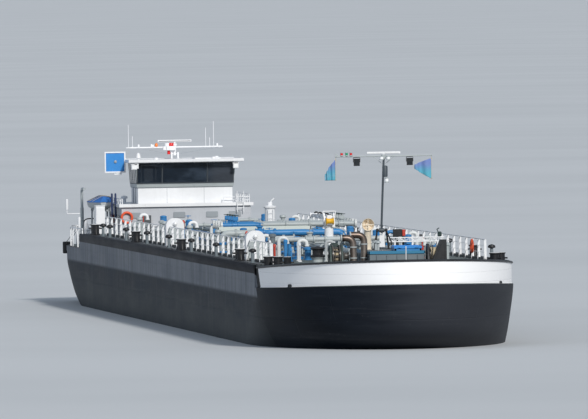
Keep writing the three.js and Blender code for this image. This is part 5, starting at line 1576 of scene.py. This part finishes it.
# Small deck gear: goosenecks, standpipes, hydrants and boxes between the lines, listed by their
# paint, and the small-bore piping along the deck.
RED = worn_paint("hydrant_red_paint", (0.50, 0.045, 0.025), 0.4, 0.2)
STAND_PIPES = {  # kind, x, y, height and radius
    BLUE: [
        ("post", 35.6, -4.02, 1.02, 0.08), ("post", 36.2, -3.5, 0.98, 0.08),
        ("cap", 35.0, -3.2, 0.95, 0.09), ("post", 36.6, -3.3, 0.6, 0.045),
        ("cap", 33.9, -2.26, 0.59, 0.145), ("cap", 37.2, 3.1, 0.7, 0.12),
        ("neck", 19.6, 2.9, 0.95, 0.08), ("cap", 9.8, -3.2, 0.85, 0.1), ("cap", -14.0, 3.0, 0.85, 0.1),
    ],
    DECK_GREEN: [
        ("cap", 35.6, -4.02, 1.24, 0.12),
    ],
    WHITE: [
        ("post", 36.0, -4.18, 0.95, 0.035), ("post", 38.0, -3.05, 0.85, 0.04),
        ("neck", 8.8, 3.25, 1.0, 0.07), ("neck", -12.0, -3.1, 1.0, 0.08),
        ("neck", -37.0, -3.1, 1.0, 0.08),
    ],
    RED: [
        ("post", 36.0, -3.98, 0.78, 0.05), ("post", 34.0, 2.9, 0.95, 0.05),
        ("post", 14.6, -3.05, 1.0, 0.05), ("post", -16.0, -3.0, 1.05, 0.05),
    ],
    VALVE_WHITE: [
        ("neck", 36.0, -3.78, 1.05, 0.085), ("neck", 36.0, -2.9, 0.92, 0.085),
        ("neck", 38.2, -1.9, 0.9, 0.07), ("neck", 40.6, 1.9, 0.95, 0.08),
        ("neck", 26.0, 3.2, 1.0, 0.08), ("neck", 24.0, -3.3, 0.95, 0.08),
        ("neck", 12.2, 3.0, 0.95, 0.08), ("neck", -2.4, -3.0, 0.95, 0.08),
        ("neck", -24.0, 3.1, 1.0, 0.08),
    ],
    PIPE_GREY: [
        ("neck", 38.9, 2.5, 0.9, 0.07), ("cap", 40.0, 3.3, 0.8, 0.11), ("cap", 20.2, -2.9, 0.85, 0.1),
        ("cap", -3.2, 2.9, 0.9, 0.11), ("cap", -26.0, -3.1, 0.9, 0.1),
    ],
}


GREY_PIPES = ((-0.45, 0.28), (0.3, 0.3), (0.5, 0.24), (1.75, 0.42))  # y and height
BLUE_PIPES = ((-0.25, 0.28), (-1.75, 0.42))


def stand_pipe(kind, high, radius):
    """A flanged pipe that ends in a gooseneck, a broad cap or a narrow one."""
    foot = radius + 0.05
    pipe = Work().turned([(foot, 0), (foot, 0.035), (radius, 0.04), (radius, 0.06)], sides=14)
    if kind == "neck":
        bend, lip = radius * 2.2, radius + 0.02
        end = high - bend
        path = [(0, 0, 0.03), (0, 0, high), (0, 2 * bend, high), (0, 2 * bend, end - 0.06)]
        pipe.pipe(path, radius, bend, 14, 5)
        return pipe.turned([(lip, end - 0.08), (lip, end - 0.02)], (0, 2 * bend, 0), "z", 14)
    pipe.turned([(radius, 0.03), (radius, high - 0.12)], sides=14)
    lip = radius + (0.05 if kind == "cap" else 0.018)
    pipe.turned([(lip, high - 0.14), (lip, high - 0.05), (radius * 0.6, high)], sides=14)
    bolt_circle(pipe, (0, 0, 0.035), radius + 0.03, 6, "z", 0.02, 0.01)
    return pipe


def build_small_gear():
    for paint, rows in STAND_PIPES.items():
        pipes = Work()
        for kind, x, y, high, radius in rows:
            pipes.copy(stand_pipe(kind, high, radius), (x, y, CARGO_DECK))
        pipes.piece(f"stand_pipes_{paint.name}", paint)

    small, blue = Work(), Work()
    for work, rows in ((small, GREY_PIPES), (blue, BLUE_PIPES)):
        for y, z in rows:
            reach = (-37.0, 41.0) if abs(y) < 1 else (-33.0, 34.4)
            work.tube([(x, y, CARGO_DECK + z) for x in reach], 0.035, 8)
    for x in spread(-36.6, 3.25, 24):
        small.block(about(x, 0.03), (-0.55, 0.6), (CARGO_DECK + 0.17, CARGO_DECK + 0.22))
        for y in (-0.5, 0.55):
            small.post(x, y, 0.03, (CARGO_DECK, CARGO_DECK + 0.2))
        for y in (-1.75, 1.75):
            if abs(x - 2) > 3.5:
                small.post(x, y, 0.025, (CARGO_DECK, CARGO_DECK + 0.4))
    small.piece("small_bore_pipes", PIPE_GREY)
    blue.piece("small_bore_blue_pipes", BLUE)

    boxes = Work().block((-5.95, -5.6), (-4.25, -3.95), (CARGO_DECK, CARGO_DECK + 0.82))
    boxes.piece("deck_boxes", BLUE, bevel=0.02)
    signal = Work().block((35.8, 35.85), (1.5, 1.6), (CARGO_DECK, 6.4))
    signal.block((35.8, 36.1), (1.36, 1.76), (6.38, 6.72))
    signal.piece("fore_signal_box", BLACK, bevel=0.02)
    Work().block((35.8, 36.1), (1.77, 1.9), (6.42, 6.7)).piece("fore_signal_box_band", RED)


build_small_gear()


# After house: its plain solids keep their own mesh, and get framed windows, seams, louvres,
# handrails, ladders and a rail round the roof.
HOUSE_FRONT = -45.4
HOUSE_BACK = -52.2
HOUSE_WALL = 3.25
SIDE_GRIP_Z = 5.75
FRONT_GRIP_Z = 5.66
ROOF_TOP = 6.75
ROOF_X = (-52.3, -45.3)
ROOF_Y = 3.35
EDGE = 0.035
HOUSE_VENT = [(0.1, 0), (0.1, 0.22), (0.18, 0.24), (0.16, 0.34), (0.04, 0.38)]
FRAME_GREY = worn_paint("window_frame_grey", (0.30, 0.33, 0.36), 0.4, 0.25)
SHADE_GREY = worn_paint("deep_grey_paint", (0.075, 0.085, 0.095), 0.45, 0.25)


PANE = 0.86
WINDOW = (
    (-1, -PANE), (-PANE, -1), (PANE, -1), (1, -PANE), (1, PANE), (PANE, 1), (-PANE, 1), (-1, PANE),
)


def framed_window(frame_work, glass_work, at, half, high, axis):
    """A rounded frame standing proud of a wall, and its dark pane. Axis is the wall's normal."""
    u, z = (at[1] if axis[0] == "x" else at[0]), at[2]
    wall = at[0] if axis[0] == "x" else at[1]
    out = 1 if axis[1] == "+" else -1
    plane = "yz" if axis[0] == "x" else "xz"
    outline = [(u + a * half, z + b * high) for a, b in WINDOW]
    inner = [(u + (a - u) * PANE, z + (b - z) * PANE) for a, b in outline]
    frame_work.slab(outline, *sorted((wall - out * 0.01, wall + out * 0.028)), plane)
    glass_work.slab(inner, *sorted((wall, wall + out * 0.034)), plane)


def railing(corners, high, gap=1.1, wire=0.02):
    """Stanchions and two rails through corner points on one level, open at both ends."""
    work = Work()
    for level in (high, high * 0.52):
        work.tube([(x, y, z + level) for x, y, z in corners], wire if level == high else wire * 0.7, 8)
    for start, end in zip(corners, corners[1:]):
        start, end = Vector(start), Vector(end)
        count = max(1, round((end - start).length / gap))
        for k in range(count + 1):
            work.turned([(0.022, 0), (0.022, high)], start.lerp(end, k / count), "z", 8)
    return work


def ladder(x, y, low, high, half, axis):
    """Two stiles and their rungs. Axis is the way that the rungs run."""
    work = Work()
    ends = [(x - half, y), (x + half, y)] if axis == "x" else [(x, y - half), (x, y + half)]
    for end in ends:
        work.tube([(*end, low), (*end, high)], 0.02, 8)
    for z in spread(low + 0.2, 0.28, int((high - low) / 0.28)):
        work.tube([(*end, z) for end in ends], 0.014, 6)
    return work


def build_house_details():
    frames, panes, front_panes, trim, dark = Work(), Work(), Work(), Work(), Work()
    for sign, axis in ((1, "y+"), (-1, "y-")):
        for x, half in ((-49.4, 0.36), (-48.2, 0.36), (-47.0, 0.36), (-46.0, 0.22)):
            framed_window(frames, panes, (x, sign * HOUSE_WALL, 5.95), half, 0.28, axis)
        trim.block((HOUSE_BACK, HOUSE_FRONT), about(sign * HOUSE_WALL, 0.025), (5.3, 5.33))
        grip_y = sign * (HOUSE_WALL + 0.08)
        trim.tube([(-50.3, grip_y, SIDE_GRIP_Z), (-45.7, grip_y, SIDE_GRIP_Z)], 0.018, 8)
        for x in (-50.2, -48.7, -47.5, -45.8):
            trim.tube([(x, sign * (HOUSE_WALL - 0.01), SIDE_GRIP_Z), (x, grip_y, SIDE_GRIP_Z)], 0.012, 6)
        for z in spread(4.95, 0.05, 6):
            dark.block((-51.85, -51.4), about(sign * HOUSE_WALL, 0.02), (z, z + 0.028))
    for y in (-2.6, -0.35, 1.3, 2.45):
        framed_window(frames, front_panes, (HOUSE_FRONT, y, 6.2), 0.3, 0.15, "x+")
    for y in (-1.9, 0.4, 1.95):
        framed_window(frames, panes, (HOUSE_BACK, y, 5.95), 0.3, 0.26, "x-")
    trim.block((HOUSE_FRONT - 0.02, HOUSE_FRONT + 0.022), (-3.25, 3.25), (5.5, 5.53))
    grip_x = HOUSE_FRONT + 0.09
    trim.tube([(grip_x, -3.0, FRONT_GRIP_Z), (grip_x, 3.0, FRONT_GRIP_Z)], 0.02, 8)
    for y in (-2.9, -1.5, 0.5, 2.9):
        trim.tube([(HOUSE_FRONT - 0.01, y, FRONT_GRIP_Z), (grip_x, y, FRONT_GRIP_Z)], 0.013, 6)
    dark.block((HOUSE_FRONT, HOUSE_FRONT + 0.12), (-2.15, -1.78), (5.42, 6.2))
    dark.block((HOUSE_FRONT, HOUSE_FRONT + 0.3), (-0.75, -0.05), (5.45, 5.8))
    trim.block((HOUSE_FRONT, HOUSE_FRONT + 0.22), (1.7, 2.3), (5.42, 5.78))
    for y in (-ROOF_Y - EDGE, ROOF_Y):
        trim.block(ROOF_X, (y, y + EDGE), (6.62, 6.78))
    for x in (ROOF_X[0] - EDGE, ROOF_X[1]):
        trim.block((x, x + EDGE), about(0, 3.38), (6.62, 6.78))
    for x, y, work in ((-50.2, 1.9, trim), (-50.9, -2.6, trim), (-51.7, 1.4, dark)):
        work.turned(HOUSE_VENT, (x, y, ROOF_TOP), "z", 16)
    frames.piece("house_window_frames", FRAME_GREY, bevel=0.006)
    panes.piece("house_window_panes", GLASS_DARK)
    front_panes.piece("house_front_panes", FRAME_GREY, slot="window_glass")
    trim.piece("house_trim", WHITE)
    dark.piece("house_louvres", SHADE_GREY)
    red = Work().block((HOUSE_FRONT, HOUSE_FRONT + 0.125), (-2.19, -2.15), (5.42, 6.2))
    red.piece("panel_red_edge", RED)


def build_house_rails():
    rails = Work()
    for y, high in ((3.2, 0.42), (-3.2, 0.28)):
        rails.copy(railing([(-52.1, y, ROOF_TOP), (-45.5, y, ROOF_TOP)], high))
    rails.copy(railing([(-45.45, 1.9, ROOF_TOP), (-45.45, 3.2, ROOF_TOP)], 0.3, 0.6))
    rails.copy(ladder(-45.2, 2.72, 6.3, 7.35, 0.16, "y"))
    rails.copy(ladder(-52.36, -1.2, AFT_DECK, 7.3, 0.17, "y"))
    rails.piece("house_rails", WHITE)


def build_house_doors():
    for side, sign in SIDES:
        y = sign * 3.245
        grip = ((0, 5.62), (0.06, 5.66), (0.06, 5.78), (0, 5.82))
        fittings = Work().tube([(-50.62, y + sign * out, z) for out, z in grip], 0.014, 6)
        for z in (5.1, 6.15):
            fittings.turned([(0.022, -0.07), (0.022, 0.07)], (-51.13, y + sign * 0.012, z), "z", 8)
        fittings.block((-51.1, -50.5), (y - sign * 0.01, y + sign * 0.012), (4.92, 5.0))
        fittings.piece(f"house_door_gear_{side}", SHADE_GREY, f"house_door_{side}")
        port_frame, port_glass = Work(), Work()
        axis = "y+" if sign > 0 else "y-"
        framed_window(port_frame, port_glass, (-50.82, sign * 3.24, 6.05), 0.17, 0.17, axis)
        port_frame.piece(f"house_door_port_frame_{side}", FRAME_GREY, f"house_door_{side}")
        port_glass.piece(f"house_door_pane_{side}", GLASS_DARK, f"house_door_{side}")


build_house_details()
build_house_rails()
build_house_doors()


# Wheelhouse: near-continuous dark glazing in slim bars that leans out to the roof, white
# floodlights under the roof's corners, and the grey sill band.
BAND_LOW = 7.59
BAND_HIGH = 8.83
SEARCHLIGHT = [(0.05, 0), (0.05, 0.06), (0.13, 0.1), (0.09, 0.3), (0.03, 0.36)]


def tinted_glass():
    glass = Finish("tinted_glass")
    at = glass.place()
    # The glass's tone is painted reflection: lighter patches where the sheen noise rises, and lighter again
    # towards port, the side that faces the key light.
    port_reflection = glass.axes(at)[1].rises(0.9, 1.6)
    sheen = glass.noise(glass.stretched(at, (1.0, 0.7, 1.6)), 1.1, 4.0)
    tone = glass.coats(
        (0.012, 0.020, 0.034),
        (sheen.rises(0.45, 0.75), (0.045, 0.064, 0.094)),
        (port_reflection * 0.6, (0.085, 0.095, 0.115)),
    )
    return glass.wear(tone, sheen * 0.06 + 0.03, alpha=0.84, specular_ior_level=0.6)


def band_point(face, along, z):
    """A point on the outer face of the window band. Along is Y on the front and aft, X on a side."""
    t = (z - BAND_LOW) / (BAND_HIGH - BAND_LOW)
    if face == "front":
        return Vector((-45.7 + 0.34 * t, along, z))
    if face == "aft":
        return Vector((-49.35, along, z))
    return Vector((along, (1 if face == "port" else -1) * (2.43 + 0.09 * t), z))


PANES = {
    "front": [(-2.43, -1.175), (-1.155, 1.1), (1.12, 2.43)],
    "port": [(-49.2, -47.58), (-47.54, -45.72)],
    "starboard": [(-49.2, -47.58), (-47.54, -45.72)],
    "aft": [(-0.95, 0.62), (0.68, 2.35)],
}
OUTWARD = {"front": (1, 0, 0), "aft": (-1, 0, 0), "port": (0, 1, 0), "starboard": (0, -1, 0)}


def band_panel(work, face, along, z, low, high):
    """A skewed slab over part of the band, from low to high metres off its outer face."""
    outward = Vector(OUTWARD[face])
    flat = [band_point(face, end, level) for level in z for end in along]
    return work.add([point + outward * lift for lift in (low, high) for point in flat], BOX_FACES)


def build_glazing():
    glass, bars, dark = Work(), Work(), Work()
    sill, head = 7.80, 8.815
    for face, spans in PANES.items():
        for span in spans:
            band_panel(glass, face, span, (sill, head), -0.03, 0.006)
        for end in {end for span in spans for end in span}:
            band_panel(bars, face, about(end, 0.016), (sill - 0.03, head), -0.035, 0.014)
        band_panel(bars, face, (spans[0][0], spans[-1][1]), (sill - 0.035, sill), -0.03, 0.016)
        band_panel(dark, face, (spans[0][0], spans[-1][1]), (head, BAND_HIGH), -0.03, 0.012)
    for x in (-48.4, -46.6):
        for face, _ in SIDES:
            band_panel(bars, face, about(x, 0.012), (sill, head), -0.03, 0.012)
    tint = tinted_glass()
    glass.piece("wheelhouse_glazing", tint, "wheelhouse", "window_glass", stands_for=["wheelhouse_glass"])
    bars.piece("wheelhouse_glazing_bars", SHADE_GREY, "wheelhouse")
    dark.piece("wheelhouse_head_strip", SHADE_GREY, "wheelhouse")


def build_wheelhouse():
    trunk = Work()
    for y in (-0.92, 0.95):
        trunk.block((-45.76, -45.742), about(y, 0.006), (6.78, 7.58))
    trunk.block((-45.77, -45.735), (-2.4, 2.4), (7.555, 7.585))
    for y in (-2.41, 2.38):
        trunk.block((-49.3, -45.75), (y, y + 0.03), (7.555, 7.585))
        for x in (-48.1, -46.9):
            trunk.block(about(x, 0.006), (y - 0.004, y + 0.034), (6.8, 7.56))
    trunk.piece("trunk_seams", FRAME_GREY, "wheelhouse")

    roof = Work()
    edge = 0.04
    for y in (-2.86 - edge, 2.86):
        roof.block((-49.57, -44.93), (y, y + edge), (8.86, 9.0))
    for x in (-49.55 - edge, -44.95):
        roof.block((x, x + edge), (-2.9, 2.9), (8.86, 9.0))
    roof.block((-48.2, -46.6), (0.6, 1.9), (8.98, 9.03))
    for x, y in ((-46.2, -1.4), (-46.2, 1.5), (-48.7, 1.9)):
        roof.turned([(0.12, 8.98), (0.12, 9.02), (0.1, 9.07), (0.02, 9.09)], (x, y, 0), "z", 16)
    roof.turned(SEARCHLIGHT, (-45.6, -2.35, 8.98), "z", 14)
    lamp_glass = Work()
    for y in (-2.62, 2.5):
        roof.block((-45.22, -45.02), about(y, 0.13), (8.5, 8.75))
        roof.block((-45.25, -45.0), about(y, 0.15), (8.74, 8.78))
        roof.tube([(-45.12, y, 8.76), (-45.12, y, 8.86)], 0.025, 8)
        lamp_glass.block((-45.03, -44.995), about(y, 0.11), (8.52, 8.73))
    roof.piece("wheelhouse_roof_trim", WHITE, "wheelhouse")
    lamp_glass.piece("wheelhouse_lamp_glass", LAMP_GLASS, "wheelhouse")

    inside = Work()
    for y in (-0.9, -0.3, 0.3, 0.9):
        inside.block((-46.62, -46.56), about(y, 0.22), (7.86, 8.14))
    inside.tube([(-46.9, 0, 7.75), (-47.05, 0, 7.95)], 0.02, 8)
    inside.ring((-47.06, 0, 7.97), 0.2, 0.016, "x", 6, 20)
    inside.turned([(0.03, 0), (0.03, 0.3), (0.06, 0.32), (0.02, 0.36)], (-46.95, -0.8, 7.72), "z", 10)
    inside.piece("console_screens", GLASS_DARK, "wheelhouse")


build_glazing()
build_wheelhouse()


# Roof mast and signals: a red lamp drum on its plate, the orange and white lights along the
# yard, wire stays, and the bright blue passing board in its white frame.
LENS_ORANGE = worn_paint("orange_lens", (0.85, 0.20, 0.02), 0.2, 0.05)


def build_roof_signals():
    x, z = -49.1, 9.22
    gear = Work().turned([(0.04, -2.45), (0.04, 2.25)], (x, 0, z + 0.335), "y", 10)
    for y in (-2.3, -0.58, 0.24, 1.6, 2.1):
        gear.turned([(0.05, -0.03), (0.05, 0.03)], (x, y, z + 0.335), "y", 12)
    for y in (-1.35, -2.0, 1.98):
        gear.turned([(0.055, 0), (0.055, 0.11), (0.035, 0.14)], (x, y, z + 0.36), "z", 12)
    gear.block(about(x, 0.2), (-0.6, -0.14), (z + 0.19, z + 0.39))
    gear.piece("roof_mast_fittings", WHITE, "roof_mast")
    drum = Work().turned([(0.155, 0.395), (0.16, 0.42), (0.16, 0.5), (0.12, 0.555)], (x, -0.37, z))
    drum.turned([(0.075, -0.02), (0.075, 0.17)], (x, -0.48, z), "z", 14)
    drum.piece("roof_mast_red_lamp", LENS_RED, "roof_mast")
    lens = [(0.05, 0), (0.075, 0.03), (0.07, 0.13), (0.03, 0.18)]
    orange = Work().turned(lens, (x, -1.1, z + 0.37), "z", 14)
    orange.piece("roof_mast_orange_lamp", LENS_ORANGE, "roof_mast")
    stays = Work()
    for sign in (-1, 1):
        stays.tube([(x, sign * 2.2, z + 0.32), (x, sign * 0.3 - 0.18, z + 0.02)], 0.008, 5)
    stays.piece("roof_mast_stays", FRAME_GREY, "roof_mast", slot="stainless")
    scanner = Work().block(about(x, 0.06), (-0.99, 0.63), (9.845, 9.875))
    scanner.turned([(0.09, 9.7), (0.09, 9.735)], (x, -0.18, 0), "z", 18)
    scanner.piece("roof_radar_trim", FRAME_GREY, "roof_radar")


def build_blue_board():
    x, y, z = -46.9, -3.41, 8.87
    thick, half, inner = (x - 0.035, x + 0.06), 0.53, 0.46
    frame_work = Work()
    for low, high in ((-half, -inner), (inner, half)):
        frame_work.block(thick, about(y, half), (z + low, z + high))
        frame_work.block(thick, (y + low, y + high), about(z, inner))
    frame_work.piece("blue_board_frame", WHITE, "blue_board", bevel=0.006)
    lamp = Work().turned([(0.07, 0.03), (0.07, 0.075), (0.03, 0.09)], (x, y + 0.02, z + 0.03), "x", 18)
    lamp.piece("blue_board_lamp", FRAME_GREY, "blue_board")


build_roof_signals()
build_blue_board()


# Stern: the covered dinghy on its trestles, the white deck locker, and winch, fenders, light arm,
# lifebuoys and tanks round the after deck.
BOAT_GREY = worn_paint("boat_hull_grey", (0.42, 0.45, 0.47), 0.4, 0.3)
COVER_BLUE = worn_paint("boat_cover_cloth", (0.03, 0.16, 0.50), 0.85, 0.25, patch=2.0)
BRONZE = worn_paint("worn_bronze", (0.34, 0.20, 0.07), 0.35, 0.4, dark=(0.12, 0.13, 0.08))
# The after house's grey is painted shade: its walls are made grey to stand for the shade on them, below the
# white wheelhouse.
HOUSE_SHADE_GREY = worn_paint("house_painted_shade_grey", (0.50, 0.52, 0.56), 0.4, 0.25)
DAVIT_BLUE = worn_paint("davit_blue_paint", (0.02, 0.035, 0.10), 0.4, 0.2)
DINGHY_X = (-50.2, -47.3)
DINGHY_Y = -3.99
DINGHY_STEPS = 14
TRESTLES = (-49.5, -48.0)
LASHINGS = (-49.7, -48.9, -48.1)
LIFEBUOYS = ((-49.9, -3.31, 5.95, "y"), (-45.3, -3.0, 6.1, "x"), (38.0, 4.66, 5.95, "y"))
LIGHT_ARM = ((-54.5, -4.45, 6.2), (-54.5, -5.19, 6.2), (-54.5, -5.19, 6.7))
WINCH_X = -53.5
EXHAUST_X = -51.5
ARM_LIGHT = [(0.06, -0.3), (0.07, -0.26), (0.07, 0.2), (0.03, 0.24)]
FENDER = [(0.14, -0.3), (0.17, -0.26), (0.17, 0.26), (0.14, 0.3)]
KEEL = AFT_DECK + 1.79
ROPE_STEPS = 14
ROPE_TURNS = 6
STERN_VENT = [(0.1, 0), (0.1, 0.03), (0.05, 0.05), (0.05, 0.7), (0.13, 0.74), (0.11, 0.84), (0.03, 0.88)]
STERN_BOLLARD = [(0.2, 0), (0.2, 0.04), (0.14, 0.06), (0.14, 0.5), (0.2, 0.52), (0.2, 0.56)]


def boat_ring(t):
    """Half-breadth and rise of the keel at a place along the boat, 0 at the stern and 1 at the bow."""
    return 0.56 * (1 - max(0.0, t - 0.45) ** 2 * 2.6), 0.3 * max(0.0, t - 0.6) ** 2 * 4


def cover_rise(turn):
    """How high the cover stands over the gunwale, from 0 at port to a half turn at starboard."""
    return 0.3 * math.sin(turn) ** 0.4 * (1 - 0.85 * max(0.0, -math.cos(turn)))


def build_dinghy():
    shell, crown = [], []
    turns = [math.pi * k / 12 for k in range(13)]
    for t in spread(0, 1 / DINGHY_STEPS, DINGHY_STEPS + 1):
        half, rise = boat_ring(t)
        x = DINGHY_X[0] + (DINGHY_X[1] - DINGHY_X[0]) * t
        sag = 0.035 * math.sin(t * math.pi * 6) ** 2
        shell.append([
            (x, DINGHY_Y + half * math.cos(a), KEEL + 0.42 - (0.42 - rise) * math.sin(a) ** 0.6)
            for a in turns
        ])
        crown.append([
            (x, DINGHY_Y + (half + 0.03) * math.cos(a), KEEL + 0.4 + cover_rise(a) - sag * math.sin(a))
            for a in turns
        ])
    hull, cover = Work().swept(shell), Work().swept(crown)
    for x in TRESTLES:
        for y in (-0.42, 0.42):
            hull.tube([(x, DINGHY_Y + y, AFT_DECK), (x, DINGHY_Y + y * 0.9, KEEL + 0.12)], 0.045, 8)
        hull.block(about(x, 0.05), about(DINGHY_Y, 0.44), (KEEL - 0.06, KEEL + 0.04))
        hull.tube([(x, DINGHY_Y - 0.42, AFT_DECK + 0.3), (x, DINGHY_Y + 0.4, AFT_DECK + 1.5)], 0.02, 6)
    hull.tube([(DINGHY_X[0], DINGHY_Y, KEEL + 0.02), (-48.2, DINGHY_Y, KEEL + 0.02)], 0.03, 8)
    hull.piece("dinghy_hull", BOAT_GREY, stands_for=["dinghy"])
    lashings = Work()
    for x in LASHINGS:
        t = (x - DINGHY_X[0]) / (DINGHY_X[1] - DINGHY_X[0])
        half = boat_ring(t)[0] + 0.05
        path = [(x, DINGHY_Y + half * math.cos(a), KEEL + 0.42 + cover_rise(a)) for a in turns[1:-1]]
        lashings.tube(path, 0.012, 5)
    lashings.piece("dinghy_lashings", ROPE)
    cover.piece("dinghy_cover", COVER_BLUE)


def build_stern_gear():
    white, dark = Work(), Work()
    white.block((-44.79, -44.77), (-4.56, -4.19), (AFT_DECK + 0.1, AFT_DECK + 1.95))
    white.block((-45.62, -44.78), (-4.62, -4.13), (AFT_DECK + 2.05, AFT_DECK + 2.08))
    handle = ((-44.755, 0.95), (-44.73, 1.02), (-44.755, 1.1))
    dark.tube([(x, -4.25, AFT_DECK + high) for x, high in handle], 0.014, 6)
    white.pipe(LIGHT_ARM, 0.022, 0.06, 8, 4)
    white.turned(ARM_LIGHT, LIGHT_ARM[-1], "z", 12)
    for y, high in ((-4.57, 1.37), (-4.29, 1.2)):
        white.turned([(0.12, 0), (0.12, high - 0.06), (0.09, high)], (-54.1, y, AFT_DECK), "z", 14)
    hoop = ((-4.5, 0), (-4.5, 1.3), (-3.63, 1.3), (-3.63, 0))
    dark.pipe([(-53.0, y, AFT_DECK + high) for y, high in hoop], 0.032, 0.3, 10, 5)
    for y in (-5.08, -5.3):
        dark.turned(FENDER, (-54.15, y, 4.5), "z", 18)
        dark.tube([(-54.15, y, 4.75), (-54.1, -4.6, AFT_DECK + 1.0)], 0.014, 6)
    posts = Work()
    for y in (-3.58, -3.4):
        posts.turned([(0.05, 0), (0.05, 2.62), (0.02, 2.65)], (-47.05, y, AFT_DECK), "z", 10)
    posts.piece("house_side_posts", DAVIT_BLUE)
    for x, y in ((-51.9, -4.3), (-51.5, -4.2), (-52.3, 3.7)):
        white.turned(STERN_VENT, (x, y, AFT_DECK), "z", 12)
    for y in (-4.65, 4.65):
        dark.turned(STERN_BOLLARD, (-44.5, y, AFT_DECK))
    white.turned([(0.03, 0), (0.025, 1.8)], (-54.7, 0, AFT_DECK), "z", 8)
    white.piece("stern_white_gear", WHITE)
    dark.piece("stern_dark_gear", BLACK)
    buoys = Work()
    for x, y, z, axis in LIFEBUOYS:
        buoys.ring((x, y, z), 0.26, 0.06, axis, 10, 28)
    buoys.piece("lifebuoys", ORANGE)
    rope = Work()
    turns = spread(0, 2 * math.pi / ROPE_STEPS, ROPE_STEPS * ROPE_TURNS)
    for side in (-1, 1):
        rope.tube([
            (WINCH_X + 0.24 * math.sin(a), side * (0.2 + 0.028 * a), AFT_DECK + 0.38 + 0.24 * math.cos(a))
            for a in turns
        ], 0.024, 6)
    rope.piece("stern_winch_rope", ROPE)
    funnels = Work()
    for y in (-0.35, 0.35):
        for low in (0.635, 0.925):
            band = [(0.15, low), (0.15, low + 0.05)]
            funnels.turned(band, (EXHAUST_X, y, ROOF_TOP + CLEARANCE), "z", 20)
    for z in spread(6.83, 0.06, 7):
        funnels.block(about(EXHAUST_X, 0.42), about(0, 0.62), (z, z + 0.02))
    funnels.piece("exhaust_casing_trim", PIPE_GREY)
    davit = Work().turned([(0.12, 0), (0.12, 0.03), (0.1, 0.04)], (-50.9, -4.75, AFT_DECK), "z", 14)
    davit.piece("davit_base_ring", PIPE_GREY)


build_dinghy()
build_stern_gear()


# The pieces of the model that keep their own mesh, each in the paint or metal of the real one, except the
# after house, whose grey is painted shade.
# They are the plain plated and welded ones, whose solids already have the shape that shows.
NODE_FINISH = {
    "propeller_nozzle": BLACK, "rudder_port": BLACK, "rudder_starboard": BLACK,
    "after_house": HOUSE_SHADE_GREY, "house_roof": WHITE, "house_door_port": WHITE, "house_door_starboard": WHITE,
    "wheelhouse_trunk": WHITE, "window_band": PIPE_GREY, "helm_console": DECK_GREEN,
    "helm_chair": BLACK, "wheelhouse_door": WHITE, "wheelhouse_roof": WHITE, "roof_mast": WHITE,
    "roof_radar": WHITE, "blue_board": BOARD_BLUE, "deck_locker": WHITE, "davit_post": PIPE_GREY,
    "davit_arm": PIPE_GREY, "exhausts": DECK_GREEN, "stern_winch": BLACK, "stern_rail": WHITE,
    "propeller": BRONZE,
}
for node, finish in NODE_FINISH.items():
    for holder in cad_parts[node].material_slots:
        holder.material = finish
